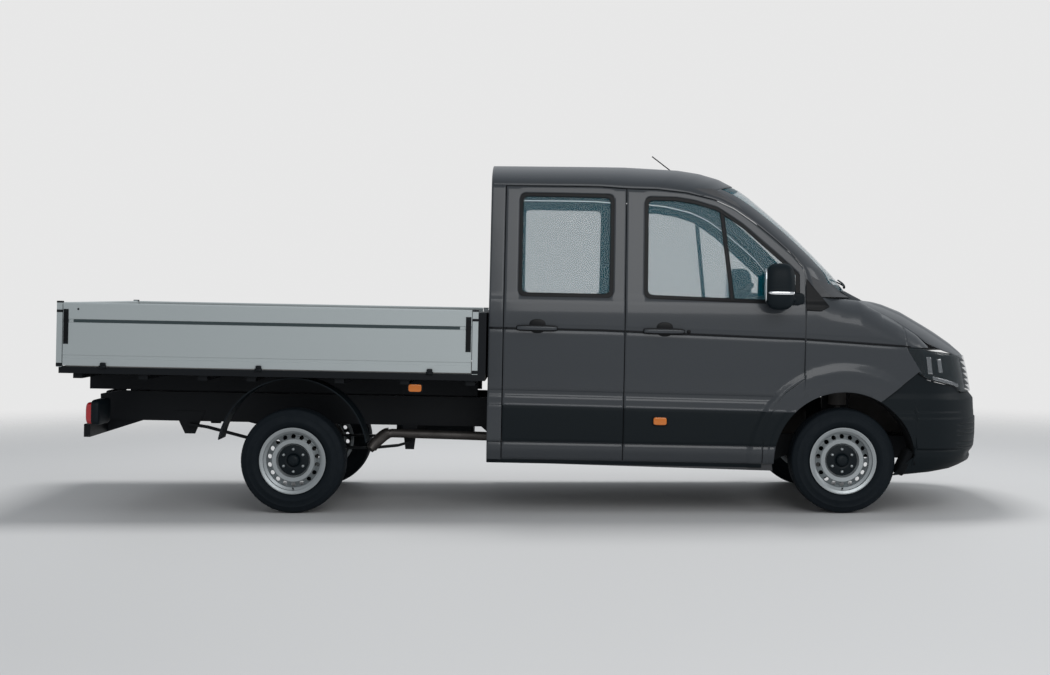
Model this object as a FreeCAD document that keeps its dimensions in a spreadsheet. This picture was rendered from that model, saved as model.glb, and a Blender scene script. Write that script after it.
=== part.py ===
import FreeCAD, Part
import math
import os
import re
import Sketcher
from FreeCAD import Placement, Rotation, Vector

# Double-cab dropside truck, unladen.  Millimetres, +X forwards, +Y to the left, +Z up,
# ground at Z = 0, origin under the middle of the whole truck.
# Cab, frame and bed are drawn level and then lean nose-down by the rake angle; axles and wheels
# are drawn straight in the ground's frame.

doc = FreeCAD.newDocument("dropside_truck")
dims = doc.addObject("Spreadsheet::Sheet", "dims")

SIZES = (
    ("rake_angle", 1.1, "nose-down lean of cab, frame and bed, degrees"),
    ("rake_height", 338, "height of the point the lean turns about, above the front axle line"),
    ("front_axle_x", 2082, "front axle"),
    ("rear_axle_x", -1558, "rear axle"),
    ("axle_height", 346, "wheel centres above the ground"),
    ("track_half", 855, "middle of a tyre from the truck's middle"),
    ("tyre_radius", 346, "tyre, standing on the ground"),
    ("tyre_width", 234, "tyre over its side walls"),
    ("flange_radius", 220, "outer edge of the rim"),
    ("hub_radius", 35, "bore of the rim and its bearing"),
    ("running_gap", 0.05, "radial clearance of a wheel on its spindle"),
    ("vent_count", 18, "vent holes round a rim"),
    ("vent_radius", 15, "one vent hole"),
    ("vent_circle", 159, "radius of the ring of vent holes"),
    ("kingpin_y", 715, "steering axis of a front wheel"),
    ("axle_tube_radius", 45, "rear axle beam"),
    ("rail_y", 430, "middle of a chassis rail"),
    ("rail_width", 70, "chassis rail"),
    ("rail_bottom", 490, "chassis rail behind the cab"),
    ("rail_top", 690, "chassis rail behind the cab"),
    ("bearer_bottom", 700, "long bearers under the bed"),
    ("bearer_top", 800, "long bearers under the bed"),
    ("bearer_width", 60, "long bearers under the bed"),
    ("floor_bottom", 836, "edge profile of the bed floor"),
    ("floor_top", 878, "top of the bed floor"),
    ("floor_half", 1060, "outer face of the floor's edge profile"),
    ("edge_width", 40, "floor's edge profile"),
    ("tray_front", -379, "front corner posts"),
    ("tray_rear", -3101, "rear corner posts"),
    ("tray_half", 1065, "outer face of side boards and posts"),
    ("post_length", 37, "corner post along the truck"),
    ("post_width", 37, "corner post across the truck"),
    ("post_top", 1303, "corner posts"),
    ("board_bottom", 885, "side boards"),
    ("board_top", 1298, "side boards"),
    ("board_thick", 25, "side boards"),
    ("board_gap", 5, "gap between a board and a post"),
    ("hinge_out", 13, "board hinge axis outside a board's face"),
    ("hinge_z", 880, "board hinge axis"),
    ("hinge_radius", 9, "board hinge knuckle"),
    ("headboard_front", -290, "front face of the headboard"),
    ("headboard_rear", -340, "rear face of the headboard"),
    ("cab_rear", -275, "back of the cab"),
    ("door_bottom", 325, "lower edge of the doors"),
    ("rear_door_back", -179, "gap behind the rear door"),
    ("door_middle", 621, "gap between the doors"),
    ("door_front", 1809, "gap in front of the front door"),
    ("door_gap", 6, "gap round a door"),
    ("door_thick", 45, "doors, pillars and back wall"),
    ("panel_thick", 25, "roof and front panels"),
    ("glass_inset", 8, "outer face of the glass behind the panel's face"),
    ("glass_thick", 6, "door glass and windscreen"),
    ("arch_radius", 468, "front wheel arch"),
    ("liner_thick", 6, "front wheel arch liner"),
    ("guard_radius", 497, "rear mudguard"),
    ("guard_thick", 8, "rear mudguard"),
)
for row, (alias, number, meaning) in enumerate(SIZES, 1):
    dims.set(f"A{row}", meaning)
    dims.set(f"B{row}", str(number))
    dims.setAlias(f"B{row}", alias)
doc.recompute()
ALIASES = {alias for alias, number, meaning in SIZES}
SIDES = (("left", 1), ("right", -1))


def mm(alias):
    """The number in a cell of the sheet."""
    return float(dims.get(alias))


def bind(item, prop, expression):
    """Tie a property to the sheet; each word that is an alias gets the sheet's name."""
    text = re.sub(r"[a-z]\w*", lambda w: "dims." + w[0] if w[0] in ALIASES else w[0], str(expression))
    item.setExpression(prop, text)


PIVOT = Vector(mm("front_axle_x"), 0, mm("rake_height"))
RAKED = Placement(Vector(), Rotation(Vector(0, 1, 0), mm("rake_angle")), PIVOT)
LEVEL = Placement()
NODES = []


def node(item, label, placement=RAKED):
    """Name a finished sub-part and put it in place."""
    item.Label = label
    item.Placement = placement
    NODES.append(item)
    return item


def shape_node(label, shape, placement=RAKED):
    """A sub-part whose shape is worked out in code."""
    item = doc.addObject("Part::Feature", label)
    item.Shape = shape
    return node(item, label, placement)


def box(name, x, y, z):
    """A box between two expressions along each axis."""
    item = doc.addObject("Part::Box", name)
    for side, prop, (low, high) in zip("xyz", ("Length", "Width", "Height"), (x, y, z)):
        bind(item, f"Placement.Base.{side}", low)
        bind(item, prop, f"({high}) - ({low})")
    return item


TURNS = {"x": Rotation(Vector(0, 1, 0), 90), "y": Rotation(Vector(1, 0, 0), -90), "z": Rotation()}


def rod(name, along, start, length, radius):
    """A cylinder that starts at a point of three expressions and runs along one axis."""
    item = doc.addObject("Part::Cylinder", name)
    item.Placement = Placement(Vector(), TURNS[along])
    for side, value in zip("xyz", start):
        bind(item, f"Placement.Base.{side}", value)
    bind(item, "Height", length)
    bind(item, "Radius", radius)
    return item


def joined(label, items, placement=RAKED):
    """Touching pieces as one solid."""
    item = doc.addObject("Part::MultiFuse", label)
    item.Shapes = items
    return node(item, label, placement)


def grouped(label, items, placement=RAKED):
    """Pieces that are alike, bolted or welded face to face, kept as separate solids of one node."""
    item = doc.addObject("Part::Compound", label)
    item.Links = items
    return node(item, label, placement)


def outline(body, role, points, offset=0):
    """A closed sketch of straight lines whose corners are held from the body's own origin."""
    sketch = body.newObject("Sketcher::SketchObject", body.Name + "_outline")
    plane = next(feature for feature in body.Origin.OriginFeatures if feature.Role == role)
    sketch.AttachmentSupport = (plane, [""])
    sketch.MapMode = "FlatFace"
    sketch.AttachmentOffset = Placement(Vector(0, 0, offset), Rotation())
    corners = [Vector(*[value if isinstance(value, (int, float)) else 0 for value in point], 0)
               for point in points]
    count = len(points)
    for index in range(count):
        start = corners[index] + Vector(index * 0.001, 0, 0)
        end = corners[(index + 1) % count] + Vector(0, index * 0.001 + 0.001, 0)
        sketch.addGeometry(Part.LineSegment(start, end))
    for index in range(count):
        sketch.addConstraint(Sketcher.Constraint("Coincident", index, 2, (index + 1) % count, 1))
    for index, point in enumerate(points):
        for kind, value in zip(("DistanceX", "DistanceY"), point):
            known = isinstance(value, (int, float))
            held = sketch.addConstraint(Sketcher.Constraint(kind, -1, 1, index, 1, value if known else 0.0))
            if not known:
                bind(sketch, f"Constraints[{held}]", value)
    return sketch


def slab(name, role, points, thickness, middle=0):
    """An outline padded by a thickness, half to each side of a plane at a distance from the origin."""
    body = doc.addObject("PartDesign::Body", name)
    pad = body.newObject("PartDesign::Pad", name + "_pad")
    pad.Profile = outline(body, role, points, middle)
    pad.SideType = "Symmetric"
    bind(pad, "Length", thickness)
    return body


def turned(name, points):
    """A section of (radius, y) corners turned about the Y axis."""
    body = doc.addObject("PartDesign::Body", name)
    ring = body.newObject("PartDesign::Revolution", name + "_turned")
    ring.Profile = outline(body, "XY_Plane", points)
    ring.ReferenceAxis = (next(f for f in body.Origin.OriginFeatures if f.Role == "Y_Axis"), [""])
    ring.Angle = 360
    return body


def tube(points, radius, bend):
    """A round tube along straight runs joined by tangent arcs."""
    corners = [Vector(*point) for point in points]
    edges = []
    here = corners[0]
    for before, corner, after in zip(corners, corners[1:], corners[2:]):
        back = (before - corner).normalize()
        ahead = (after - corner).normalize()
        reach = bend / math.tan(back.getAngle(ahead) / 2)
        start = corner + back * reach
        end = corner + ahead * reach
        inward = (back + ahead).normalize()
        centre = corner + inward * (bend / math.sin(back.getAngle(ahead) / 2))
        edges.append(Part.LineSegment(here, start).toShape())
        edges.append(Part.Arc(start, centre - inward * bend, end).toShape())
        here = end
    edges.append(Part.LineSegment(here, corners[-1]).toShape())
    ring = Part.Wire(Part.makeCircle(radius, corners[0], corners[1] - corners[0]))
    return Part.Wire(edges).makePipeShell([ring], True, True)


def side_prism(points, low, high):
    """An outline in side view, (x, z) corners, as a prism from one y to another."""
    wire = Part.makePolygon([Vector(x, low, z) for x, z in points + points[:1]])
    return Part.Face(wire).extrude(Vector(0, high - low, 0))


def block(x, y, z):
    """A plain box shape between two numbers along each axis."""
    return Part.makeBox(x[1] - x[0], y[1] - y[0], z[1] - z[0], Vector(x[0], y[0], z[0]))


# ---------------------------------------------------------------- cab shape
# Centre line in side view from the roof's rear edge to the bumper's lower lip.  Each row: x, z, then
# how far the line bows back with the square and with the sixth power of the distance from the
# middle (mm at one metre out), and how far it drops with the square.
CENTRE_LINE = (
    (-275, 2303, 0, 0, 100),
    (627, 2311, 0, 0, 105),
    (1005, 2296, 65, 60, 105),
    (1294, 2235, 115, 100, 100),
    (1502, 2113, 115, 125, 80),
    (1781, 1874, 115, 130, 40),
    (2186, 1470, 115, 135, 10),
    (2290, 1425, 115, 140, 40),
    (2553, 1355, 115, 180, 60),
    (2822, 1208, 115, 215, 60),
    (2994, 1062, 115, 248, 30),
    (3052, 810, 115, 248, 0),
    (3079, 762, 115, 248, 0),
    (3087, 527, 115, 248, 0),
    (3070, 374, 115, 248, 0),
    (2958, 300, 115, 248, 0),
    (2600, 258, 0, 100, 0),
    (-275, 294, 0, 0, 0),
)
STATIONS = (-1080, -960, -800, -500, 0, 500, 800, 960, 1080)
# Half of the cross-section: distance from the middle and height, from the sill to the roof.
HALF_SECTION = ((972, 240), (996, 440), (1010, 680), (1006, 760), (1020, 1170), (1012, 1369),
                (990, 1400), (900, 2085), (886, 2140), (846, 2196), (780, 2232), (690, 2262), (0, 2340))


def inset(points, depth):
    """A closed outline moved inwards by a depth; its corners stay corners."""
    area = sum(a[0] * b[1] - b[0] * a[1] for a, b in zip(points, points[1:] + points[:1]))
    turn = 1 if area > 0 else -1
    moved = []
    for index, corner in enumerate(points):
        before = points[index - 1]
        after = points[(index + 1) % len(points)]
        normals = []
        for start, end in ((before, corner), (corner, after)):
            length = math.hypot(end[0] - start[0], end[1] - start[1])
            normals.append((turn * (start[1] - end[1]) / length, turn * (end[0] - start[0]) / length))
        (ax, az), (bx, bz) = normals
        share = depth / (1 + ax * bx + az * bz)
        moved.append((corner[0] + (ax + bx) * share, corner[1] + (az + bz) * share))
    return moved


def cab_solid(depth):
    """The whole cab and nose as a closed solid, a depth inside the outer skin."""
    wires = []
    for y in STATIONS:
        u = abs(y) / 1000
        line = [(x - bow * u ** 2 - corner * u ** 6, z - drop * u ** 2)
                for x, z, bow, corner, drop in CENTRE_LINE]
        line = inset(line, depth)
        wires.append(Part.makePolygon([Vector(x, y, z) for x, z in line + line[:1]]))
    loft = Part.makeLoft(wires, True, False)
    half = [(y, z) for y, z in HALF_SECTION]
    ring = inset(half + [(-y, z) for y, z in reversed(half[:-1])], depth)
    wire = Part.makePolygon([Vector(-400, y, z) for y, z in ring + ring[:1]])
    return loft.common(Part.Face(wire).extrude(Vector(3600, 0, 0)))


OUTER = cab_solid(0)
ARCH_INSIDE = 480
WHEEL_HOLE = Part.makeCylinder(mm("arch_radius"), 1200 - ARCH_INSIDE,
                               Vector(mm("front_axle_x"), ARCH_INSIDE, mm("rake_height")), Vector(0, 1, 0))
WHEEL_HOLE = WHEEL_HOLE.fuse(WHEEL_HOLE.mirror(Vector(), Vector(0, 1, 0)))
THICK_SHELL = OUTER.cut(cab_solid(mm("door_thick"))).cut(WHEEL_HOLE)
THIN_SHELL = OUTER.cut(cab_solid(mm("panel_thick"))).cut(WHEEL_HOLE)
GLASS_SHELL = cab_solid(mm("glass_inset")).cut(cab_solid(mm("glass_inset") + mm("glass_thick")))
INSIDE = cab_solid(mm("door_thick") + 10)

# Door outlines in side view, along the middle of the gaps.
REAR_DOOR = [(mm("rear_door_back"), mm("door_bottom")), (mm("door_middle"), mm("door_bottom")),
             (mm("door_middle"), 2121), (442, 2130), (mm("rear_door_back"), 2127)]
FRONT_DOOR = [(mm("door_middle"), mm("door_bottom")), (1539, mm("door_bottom")), (1539, 464), (1554, 555),
              (1586, 646), (1630, 726), (1685, 795), (mm("door_front"), 888), (mm("door_front"), 1540),
              (1786, 1626), (1721, 1702), (1592, 1813), (1463, 1915), (1334, 2002), (1206, 2058),
              (1014, 2101), (823, 2119), (mm("door_middle"), 2121)]
REAR_WINDOW = [(-88, 1400), (541, 1400), (541, 2082), (-88, 2082)]
FRONT_WINDOW = [(742, 1400), (1700, 1400), (1770, 1560), (1654, 1674), (1524, 1786), (1396, 1897),
                (1229, 2008), (1076, 2053), (949, 2072), (742, 2073)]
SIDE_REACH = (760, 1100)
DOOR_FOOT_INSIDE = 932


def side_piece(shell, points, side):
    """The part of a shell that lies behind an outline in side view, on one side of the truck."""
    low, high = SIDE_REACH if side > 0 else (-SIDE_REACH[1], -SIDE_REACH[0])
    return shell.common(side_prism(points, low, high))


def largest(shape):
    """The largest solid of a shape, without the slivers that a cut may leave."""
    return max(shape.Solids, key=lambda solid: solid.Volume)


def door(label, opening, window, side):
    """A door panel with its window cut, and its glass."""
    gap = mm("door_gap") / 2
    low, high = SIDE_REACH if side > 0 else (-SIDE_REACH[1], -SIDE_REACH[0])
    panel = side_piece(THICK_SHELL, inset(opening, gap), side).cut(side_prism(window, low, high))
    panel = panel.cut(block((-400, 2000), (-DOOR_FOOT_INSIDE, DOOR_FOOT_INSIDE), (0, 400)))
    shape_node(label, largest(panel))
    glass = side_piece(GLASS_SHELL, inset(window, 0.5), side)
    shape_node(label + "_glass", largest(glass))


for name, side in SIDES:
    door(f"front_{name}_door", FRONT_DOOR, FRONT_WINDOW, side)
    door(f"rear_{name}_door", REAR_DOOR, REAR_WINDOW, side)

# Outline of the windscreen in side view at its two edges: the A-pillar keeps the rest.
BACK_WALL_X = mm("cab_rear") + mm("door_thick")
WINDSCREEN_TOP = 2140
WINDSCREEN_FOOT = 1475
WINDSCREEN_SIDE = 800
above_foot = block((1290, 2400), (-WINDSCREEN_SIDE, WINDSCREEN_SIDE), (WINDSCREEN_FOOT, WINDSCREEN_TOP))
above_foot = above_foot.cut(block((-400, 1560), (-1100, 1100), (0, 1700)))
back_pane = block((-400, -200), (-559, 559), (1451, 1979))
shape_node("cab_glass", Part.makeCompound([largest(GLASS_SHELL.common(above_foot)),
                                           largest(GLASS_SHELL.common(back_pane))]))

# Cab shell: the roof, two side frames with sill and pillars, and the back wall.
SILL_INSIDE = 860
back_window = block((-400, 0), (-560, 560), (1450, 1980))
WALL_FOOT = 702
frame_way = block((-400, 0), (-SILL_INSIDE, SILL_INSIDE), (0, WALL_FOOT))
back_wall = THICK_SHELL.common(block((-400, BACK_WALL_X), (-1100, 1100), (294, 2400)))
back_wall = back_wall.cut(back_window).cut(frame_way)
shape_node("cab_back_wall", largest(back_wall))
ROOF_LINE = 2140
roof = THIN_SHELL.common(block((BACK_WALL_X, 1700), (-1100, 1100), (ROOF_LINE, 2400))).cut(above_foot)
shape_node("roof", largest(roof))
for name, side in SIDES:
    low, high = (SILL_INSIDE, 1100) if side > 0 else (-1100, -SILL_INSIDE)
    column = THICK_SHELL.common(block((BACK_WALL_X, 2000), (low, high), (250, ROOF_LINE)))
    screen_side = (WINDSCREEN_SIDE, 1100) if side > 0 else (-1100, -WINDSCREEN_SIDE)
    pillar = THICK_SHELL.common(block((1290, 2300), screen_side, (1425, ROOF_LINE)))
    nose = side_prism([(1812, 200), (2600, 200), (2600, 1425), (1812, 1425)], -1100, 1100)
    frame = column.fuse(pillar).cut(side_prism(FRONT_DOOR, -1100, 1100))
    frame = frame.cut(side_prism(REAR_DOOR, -1100, 1100)).cut(nose)
    y_post = side * 905
    post = block((560, 690), (y_post - 20, y_post + 20), (300, 1390))
    shape_node(f"{name}_side_frame", frame.fuse(post).removeSplitter())

# Front panels, each cut out of the same shell.
BONNET_SIDE = 850
BONNET_PLAN = [(2290, 0), (2276, 400), (2234, 640), (2179, BONNET_SIDE), (2640, BONNET_SIDE),
               (2800, 790), (3100, 790), (3100, 0)]
BONNET_GAP = 6
above_lamps = side_prism([(2100, 1600), (2100, 1130), (2472, 1118), (2640, 1112), (2900, 1070),
                          (2960, 1052), (3200, 1052), (3200, 1600)], -1100, 1100)


def bonnet_prism(gap):
    """The space over the bonnet's outline in plan, a gap inside it."""
    plan = BONNET_PLAN + [(x, -y) for x, y in reversed(BONNET_PLAN[1:-1])]
    plan = inset(plan, gap)
    face = Part.Face(Part.makePolygon([Vector(x, y, 900) for x, y in plan + plan[:1]]))
    return face.extrude(Vector(0, 0, 700)).common(above_lamps)


bonnet_tool = bonnet_prism(0)
shape_node("bonnet", largest(THIN_SHELL.common(bonnet_prism(BONNET_GAP))))
LAMP = [(2478, 1104), (2640, 1100), (2900, 1060), (3100, 1046), (3100, 820), (2862, 850), (2648, 896),
        (2584, 935)]
BUMPER = [(2200, 640), (2326, 751), (2562, 946), (2584, 930), (2648, 890), (2862, 844), (2900, 800),
          (3200, 800), (3200, 200), (2200, 200)]
GRILLE_HALF = 590
shape_node("front_bumper", largest(THIN_SHELL.common(side_prism(BUMPER, -1100, 1100))))
grille_tool = side_prism([(2700, 1046), (3200, 1046), (3200, 806), (2700, 806)], -GRILLE_HALF, GRILLE_HALF)
shape_node("grille", largest(THIN_SHELL.common(grille_tool)))
PILLAR_FOOT = 1425
cowl_tool = block((1850, 2420), (-BONNET_SIDE, BONNET_SIDE), (1300, PILLAR_FOOT))
cowl_tool = cowl_tool.fuse(block((1850, 2420), (-WINDSCREEN_SIDE, WINDSCREEN_SIDE), (PILLAR_FOOT, 1469)))
cowl_tool = cowl_tool.cut(bonnet_tool)
shape_node("scuttle", largest(THIN_SHELL.common(cowl_tool)))
lamps = []
liners = []
for name, side in SIDES:
    low, high = (GRILLE_HALF + 4, 1100) if side > 0 else (-1100, -GRILLE_HALF - 4)
    lamps.append(largest(THICK_SHELL.common(side_prism(LAMP, low, high))))
    low, high = (700, 1100) if side > 0 else (-1100, -700)
    wing = THIN_SHELL.common(block((1812, 2700), (low, high), (300, 1424)))
    wing = wing.cut(bonnet_tool).cut(cowl_tool).cut(side_prism(LAMP, low, high))
    wing = wing.cut(side_prism(BUMPER, low, high))
    shape_node(f"{name}_front_wing", largest(wing))
    y_low = 790 if side > 0 else -985
    liner = Part.makeCylinder(mm("arch_radius"), 195, Vector(mm("front_axle_x"), y_low, mm("rake_height")),
                              Vector(0, 1, 0))
    liner = liner.cut(Part.makeCylinder(mm("arch_radius") - mm("liner_thick"), 195,
                                        Vector(mm("front_axle_x"), y_low, mm("rake_height")),
                                        Vector(0, 1, 0)))
    liners.append(liner.common(block((1500, 2700), (-1100, 1100), (330, 900))))
shape_node("headlamps", Part.makeCompound(lamps))
shape_node("arch_liners", Part.makeCompound(liners))

# ---------------------------------------------------------------- inside the cab
floor_section = [(-225, 705), (80, 705), (80, 385), (1500, 385), (1650, 600), (1745, 850), (1745, 890),
                 (1715, 890), (1715, 860), (1625, 615), (1485, 415), (110, 415), (110, 735), (-225, 735)]
node(slab("cab_floor", "XZ_Plane", floor_section, 1700), "cab_floor")
dash_section = [(1715, 900), (1640, 1150), (1560, 1180), (1550, 1330), (1610, 1400), (1800, 1440),
                (2140, 1450), (2140, 1200), (1750, 900)]
dashboard = side_prism(dash_section, -1000, 1000).common(INSIDE)
COLUMN_SLOPE = 35
WHEEL_CENTRE = Vector(1470, 420, 1400)
tilt = math.radians(COLUMN_SLOPE)
column_down = Vector(math.sin(tilt), 0, -math.cos(tilt))
shroud = Part.makeCylinder(38, 190, WHEEL_CENTRE + column_down * 54, column_down)
shape_node("dashboard", largest(dashboard.fuse(shroud)))
SEAT_SIDE = [(0, 0), (470, 0), (500, 110), (480, 150), (60, 110), (-70, 570), (-110, 640), (-190, 640),
             (-200, 560), (-90, 60)]


BASE_FLOOR = 415
SEAT_HEIGHT = 750
SEATS = (("driver_seat", 820, 480, 450), ("passenger_seat", 820, 860, -380), ("rear_seat", 0, 1560, 0))
rows = []
for label, x, width, middle in SEATS:
    side_view = [(x + along, SEAT_HEIGHT + up) for along, up in SEAT_SIDE]
    cushion = slab(label + "_pad", "XZ_Plane", side_view, width, -middle)
    base = box(label + "_base", (x + 120, x + 420), (middle - width / 2 + 30, middle + width / 2 - 30),
               (BASE_FLOOR, SEAT_HEIGHT))
    both = doc.addObject("Part::MultiFuse", label)
    both.Shapes = [cushion, base]
    rows.append(both)
grouped("front_seats", rows[:2])
grouped("rear_bench", rows[2:])

# Steering wheel: a ring on three spokes, turning on a column through the dashboard.
STEERING = Placement(WHEEL_CENTRE, Rotation(Vector(0, 1, 0), -COLUMN_SLOPE))
ring = doc.addObject("Part::Torus", "steering_ring")
ring.Radius1 = 190
ring.Radius2 = 15
hub = doc.addObject("Part::Cylinder", "steering_hub")
hub.Radius = 45
hub.Height = 60
hub.Placement = Placement(Vector(0, 0, -48), Rotation())
spokes = [hub, ring]
for index, angle in enumerate((0, 120, 240)):
    spoke = doc.addObject("Part::Box", f"steering_spoke_{index}")
    spoke.Length = 190
    spoke.Width = 30
    spoke.Height = 14
    turn = Rotation(Vector(0, 0, 1), angle)
    spoke.Placement = Placement(turn.multVec(Vector(0, -15, -7)), turn)
    spokes.append(spoke)
joined("steering_wheel", spokes, RAKED * STEERING)

# ---------------------------------------------------------------- chassis
RAIL = [(-2958, 667), (-2825, "rail_top"), (-260, "rail_top"), (60, 372), (1540, 372), (1700, 480),
        (2860, 480), (2860, 330), (1760, 330), (1600, 250), (-60, 250), (-330, "rail_bottom"),
        (-2953, "rail_bottom")]
BRACE = [(-2911, 405), (-2911, "rail_bottom"), (-2662, "rail_bottom")]
BRACE_THICK = 8
MEMBER_LENGTH = 60
MEMBER_HEIGHT = 90
frame_parts = []
for name, side in SIDES:
    frame_parts.append(slab(f"{name}_rail", "XZ_Plane", RAIL, "rail_width", -side * mm("rail_y")))
    frame_parts.append(slab(f"{name}_brace", "XZ_Plane", BRACE, BRACE_THICK, -side * mm("rail_y")))
BETWEEN_RAILS = ("rail_width/2 - rail_y", "rail_y - rail_width/2")
for index, (x, z) in enumerate(((-2880, 560), (-2150, 560), (-1000, 560), (-420, 560), (600, 280),
                                (1500, 280), (2600, 380))):
    frame_parts.append(box(f"cross_member_{index}", (x, x + MEMBER_LENGTH), BETWEEN_RAILS,
                           (z, z + MEMBER_HEIGHT)))
frame_parts.append(box("underrun_bar", (-2953, -2911), (-900, 900), (405, "rail_bottom")))
grouped("chassis_frame", frame_parts)

# Front axle: lower arms and strut towers, fixed to the frame.
arm_parts = [box("arm_beam", (2022, 2142), (-640, 640), (232, 262)),
             box("arm_saddle", (2000, 2164), (-500, 500), (262, 330))]
for name, side in SIDES:
    tip = (600, 700) if side > 0 else (-700, -600)
    arm_parts.append(rod(f"{name}_ball_seat", "z", ("front_axle_x", f"{side} * kingpin_y", 225), 25, 30))
    arm_parts.append(box(f"{name}_arm_tip", (2052, 2112), tip, (232, 250)))
for name, side in SIDES:
    low, high = (560, 790) if side > 0 else (-790, -560)
    plate = (560, 600) if side > 0 else (-600, -560)
    inner = (465, 600) if side > 0 else (-600, -465)
    leg = (466, 500) if side > 0 else (-500, -466)
    arm_parts += [
        box(f"{name}_tower_top", (1992, 2172), (low, high), (838, 858)),
        box(f"{name}_tower_wall", (1992, 2172), plate, (440, 858)),
        box(f"{name}_tower_foot", (1992, 2172), inner, (420, 470)),
        box(f"{name}_tower_leg", (2022, 2142), leg, (262, 470))]
joined("front_subframe", arm_parts)

# Engine: one plain block between the rails.
grouped("engine_block", [box("engine", (2230, 2700), (-330, 330), (500, 1000))])

# Leaf springs with their hangers.
LEAF = [(-818, 369), (-897, 345), (-1081, 324), (-1557, 323), (-1941, 380), (-2210, 446), (-2335, 464)]
leaf_top = [(x, z + 16) for x, z in reversed(LEAF)]
springs = []
for name, side in SIDES:
    y_spring = side * 500
    springs.append(slab(f"{name}_leaf", "XZ_Plane", LEAF + leaf_top, 60, -y_spring))
for name, side in SIDES:
    low, high = (465, 534) if side > 0 else (-534, -465)
    springs.append(slab(f"{name}_front_hanger", "XZ_Plane",
                        [(-872, 490), (-771, 490), (-790, 325), (-850, 325)], 8, -side * 469))
    springs.append(slab(f"{name}_rear_hanger", "XZ_Plane",
                        [(-2447, 558), (-2237, 558), (-2300, 404), (-2370, 404)], 8, -side * 469))
joined("leaf_springs", springs)

# Rear axle: a beam with drums and spindles, and the seats of the leaf springs.
axle_parts = [rod("axle_beam", "y", ("rear_axle_x", -800, "axle_height"), 1600, "axle_tube_radius")]
for name, side in SIDES:
    low = 775 if side > 0 else -815
    axle_parts.append(rod(f"{name}_brake_drum", "y", ("rear_axle_x", low, "axle_height"), 40, 140))
    low = 800 if side > 0 else -905
    axle_parts.append(rod(f"{name}_rear_spindle", "y", ("rear_axle_x", low, "axle_height"), 105,
                          "hub_radius - running_gap"))
joined("rear_axle", axle_parts, LEVEL)

# Wheels: a pressed rim with a ring of vent holes, and its tyre.
RIM = [(220, 100), (220, 95), (207, 93), (203, 60), (186, 50), (186, 0), (203, -12), (203, -84),
       (220, -88), (220, -93), (214, -93), (197, -88), (197, -16), (180, -4), (180, 22), (148, 46),
       (125, 50), (108, 30), ("hub_radius", 28), ("hub_radius", 40), (100, 42), (114, 60), (140, 62),
       (165, 45), (180, 38), (180, 54), (197, 64), (197, 95), (214, 100)]
TYRE = [(206, -80), (224, -86), (240, -108), (262, "-tyre_width/2"), (300, -115), (330, -104), (342, -86),
        ("tyre_radius", -60), ("tyre_radius", 60), (342, 86), (330, 104), (300, 115),
        (262, "tyre_width/2"), (240, 108), (224, 86), (206, 80)]
for end, axle in (("front", "front_axle_x"), ("rear", "rear_axle_x")):
    for name, side in SIDES:
        label = f"{end}_{name}"
        place = Placement(Vector(mm(axle), side * mm("track_half"), mm("axle_height")),
                          Rotation(Vector(0, 0, 1), 0 if side > 0 else 180))
        node(turned(f"{label}_tyre", TYRE), f"{label}_tyre", place)
        rim = turned(f"{label}_rim", RIM)
        sketch = rim.newObject("Sketcher::SketchObject", f"{label}_vent_sketch")
        plane = next(f for f in rim.Origin.OriginFeatures if f.Role == "XZ_Plane")
        sketch.AttachmentSupport = (plane, [""])
        sketch.MapMode = "FlatFace"
        sketch.addGeometry(Part.Circle(Vector(0, mm("vent_circle"), 0), Vector(0, 0, 1), 5))
        radius = sketch.addConstraint(Sketcher.Constraint("Radius", 0, mm("vent_radius")))
        bind(sketch, f"Constraints[{radius}]", "vent_radius")
        doc.recompute()
        vent = rim.newObject("PartDesign::Pocket", f"{label}_vent")
        vent.Profile = sketch
        vent.SideType = "Symmetric"
        vent.Length = 300
        ring = rim.newObject("PartDesign::PolarPattern", f"{label}_vents")
        ring.Originals = [vent]
        ring.Axis = (next(f for f in rim.Origin.OriginFeatures if f.Role == "Y_Axis"), [""])
        ring.Angle = 360
        bind(ring, "Occurrences", "vent_count")
        rim.Tip = ring
        node(rim, f"{label}_rim", place)

# Front knuckles with spindle and strut, each turning on its kingpin line.
for name, side in SIDES:
    upright = (side * 700, side * 745)
    axle = (side * 740, side * 905)
    joined(f"front_{name}_knuckle", [
        box(f"{name}_upright", (2042, 2122), (min(upright), max(upright)), (262, 470)),
        rod(f"{name}_spindle", "y", ("front_axle_x", min(axle), "axle_height"), 165,
            "hub_radius - running_gap"),
        rod(f"{name}_hub_flange", "y", ("front_axle_x", 745 if side > 0 else -825, "axle_height"), 80, 60),
        rod(f"{name}_strut", "z", ("front_axle_x", f"{side} * kingpin_y", 440), 385, 22),
        rod(f"{name}_spring_cup", "z", ("front_axle_x", f"{side} * kingpin_y", 705), 115, 62)], LEVEL)

# Exhaust: silencer under the cab, straight pipe and a turned-down outlet before the rear wheel.
pipe = tube([(-260, -540, 430), (-960, -540, 440), (-1080, -610, 335)], 30, 70)
silencer = Part.makeCylinder(75, 310, Vector(-268, -560, 415), Vector(1, 0, 0))
shape_node("exhaust", pipe.fuse(silencer).removeSplitter())
tank = doc.addObject("PartDesign::Body", "tank_body")
tank_pad = tank.newObject("PartDesign::Pad", "tank_pad")
tank_pad.Profile = outline(tank, "XZ_Plane", [(-1000, 330), (-420, 330), (-420, 560), (-1000, 560)], -680)
tank_pad.SideType = "Symmetric"
tank_pad.Length = 260
doc.recompute()
tank_round = tank.newObject("PartDesign::Fillet", "tank_round")
tank_round.Base = (tank_pad, [f"Edge{index + 1}" for index in range(len(tank_pad.Shape.Edges))])
tank_round.Radius = 30
tank.Tip = tank_round
node(tank, "fuel_tank")

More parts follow.
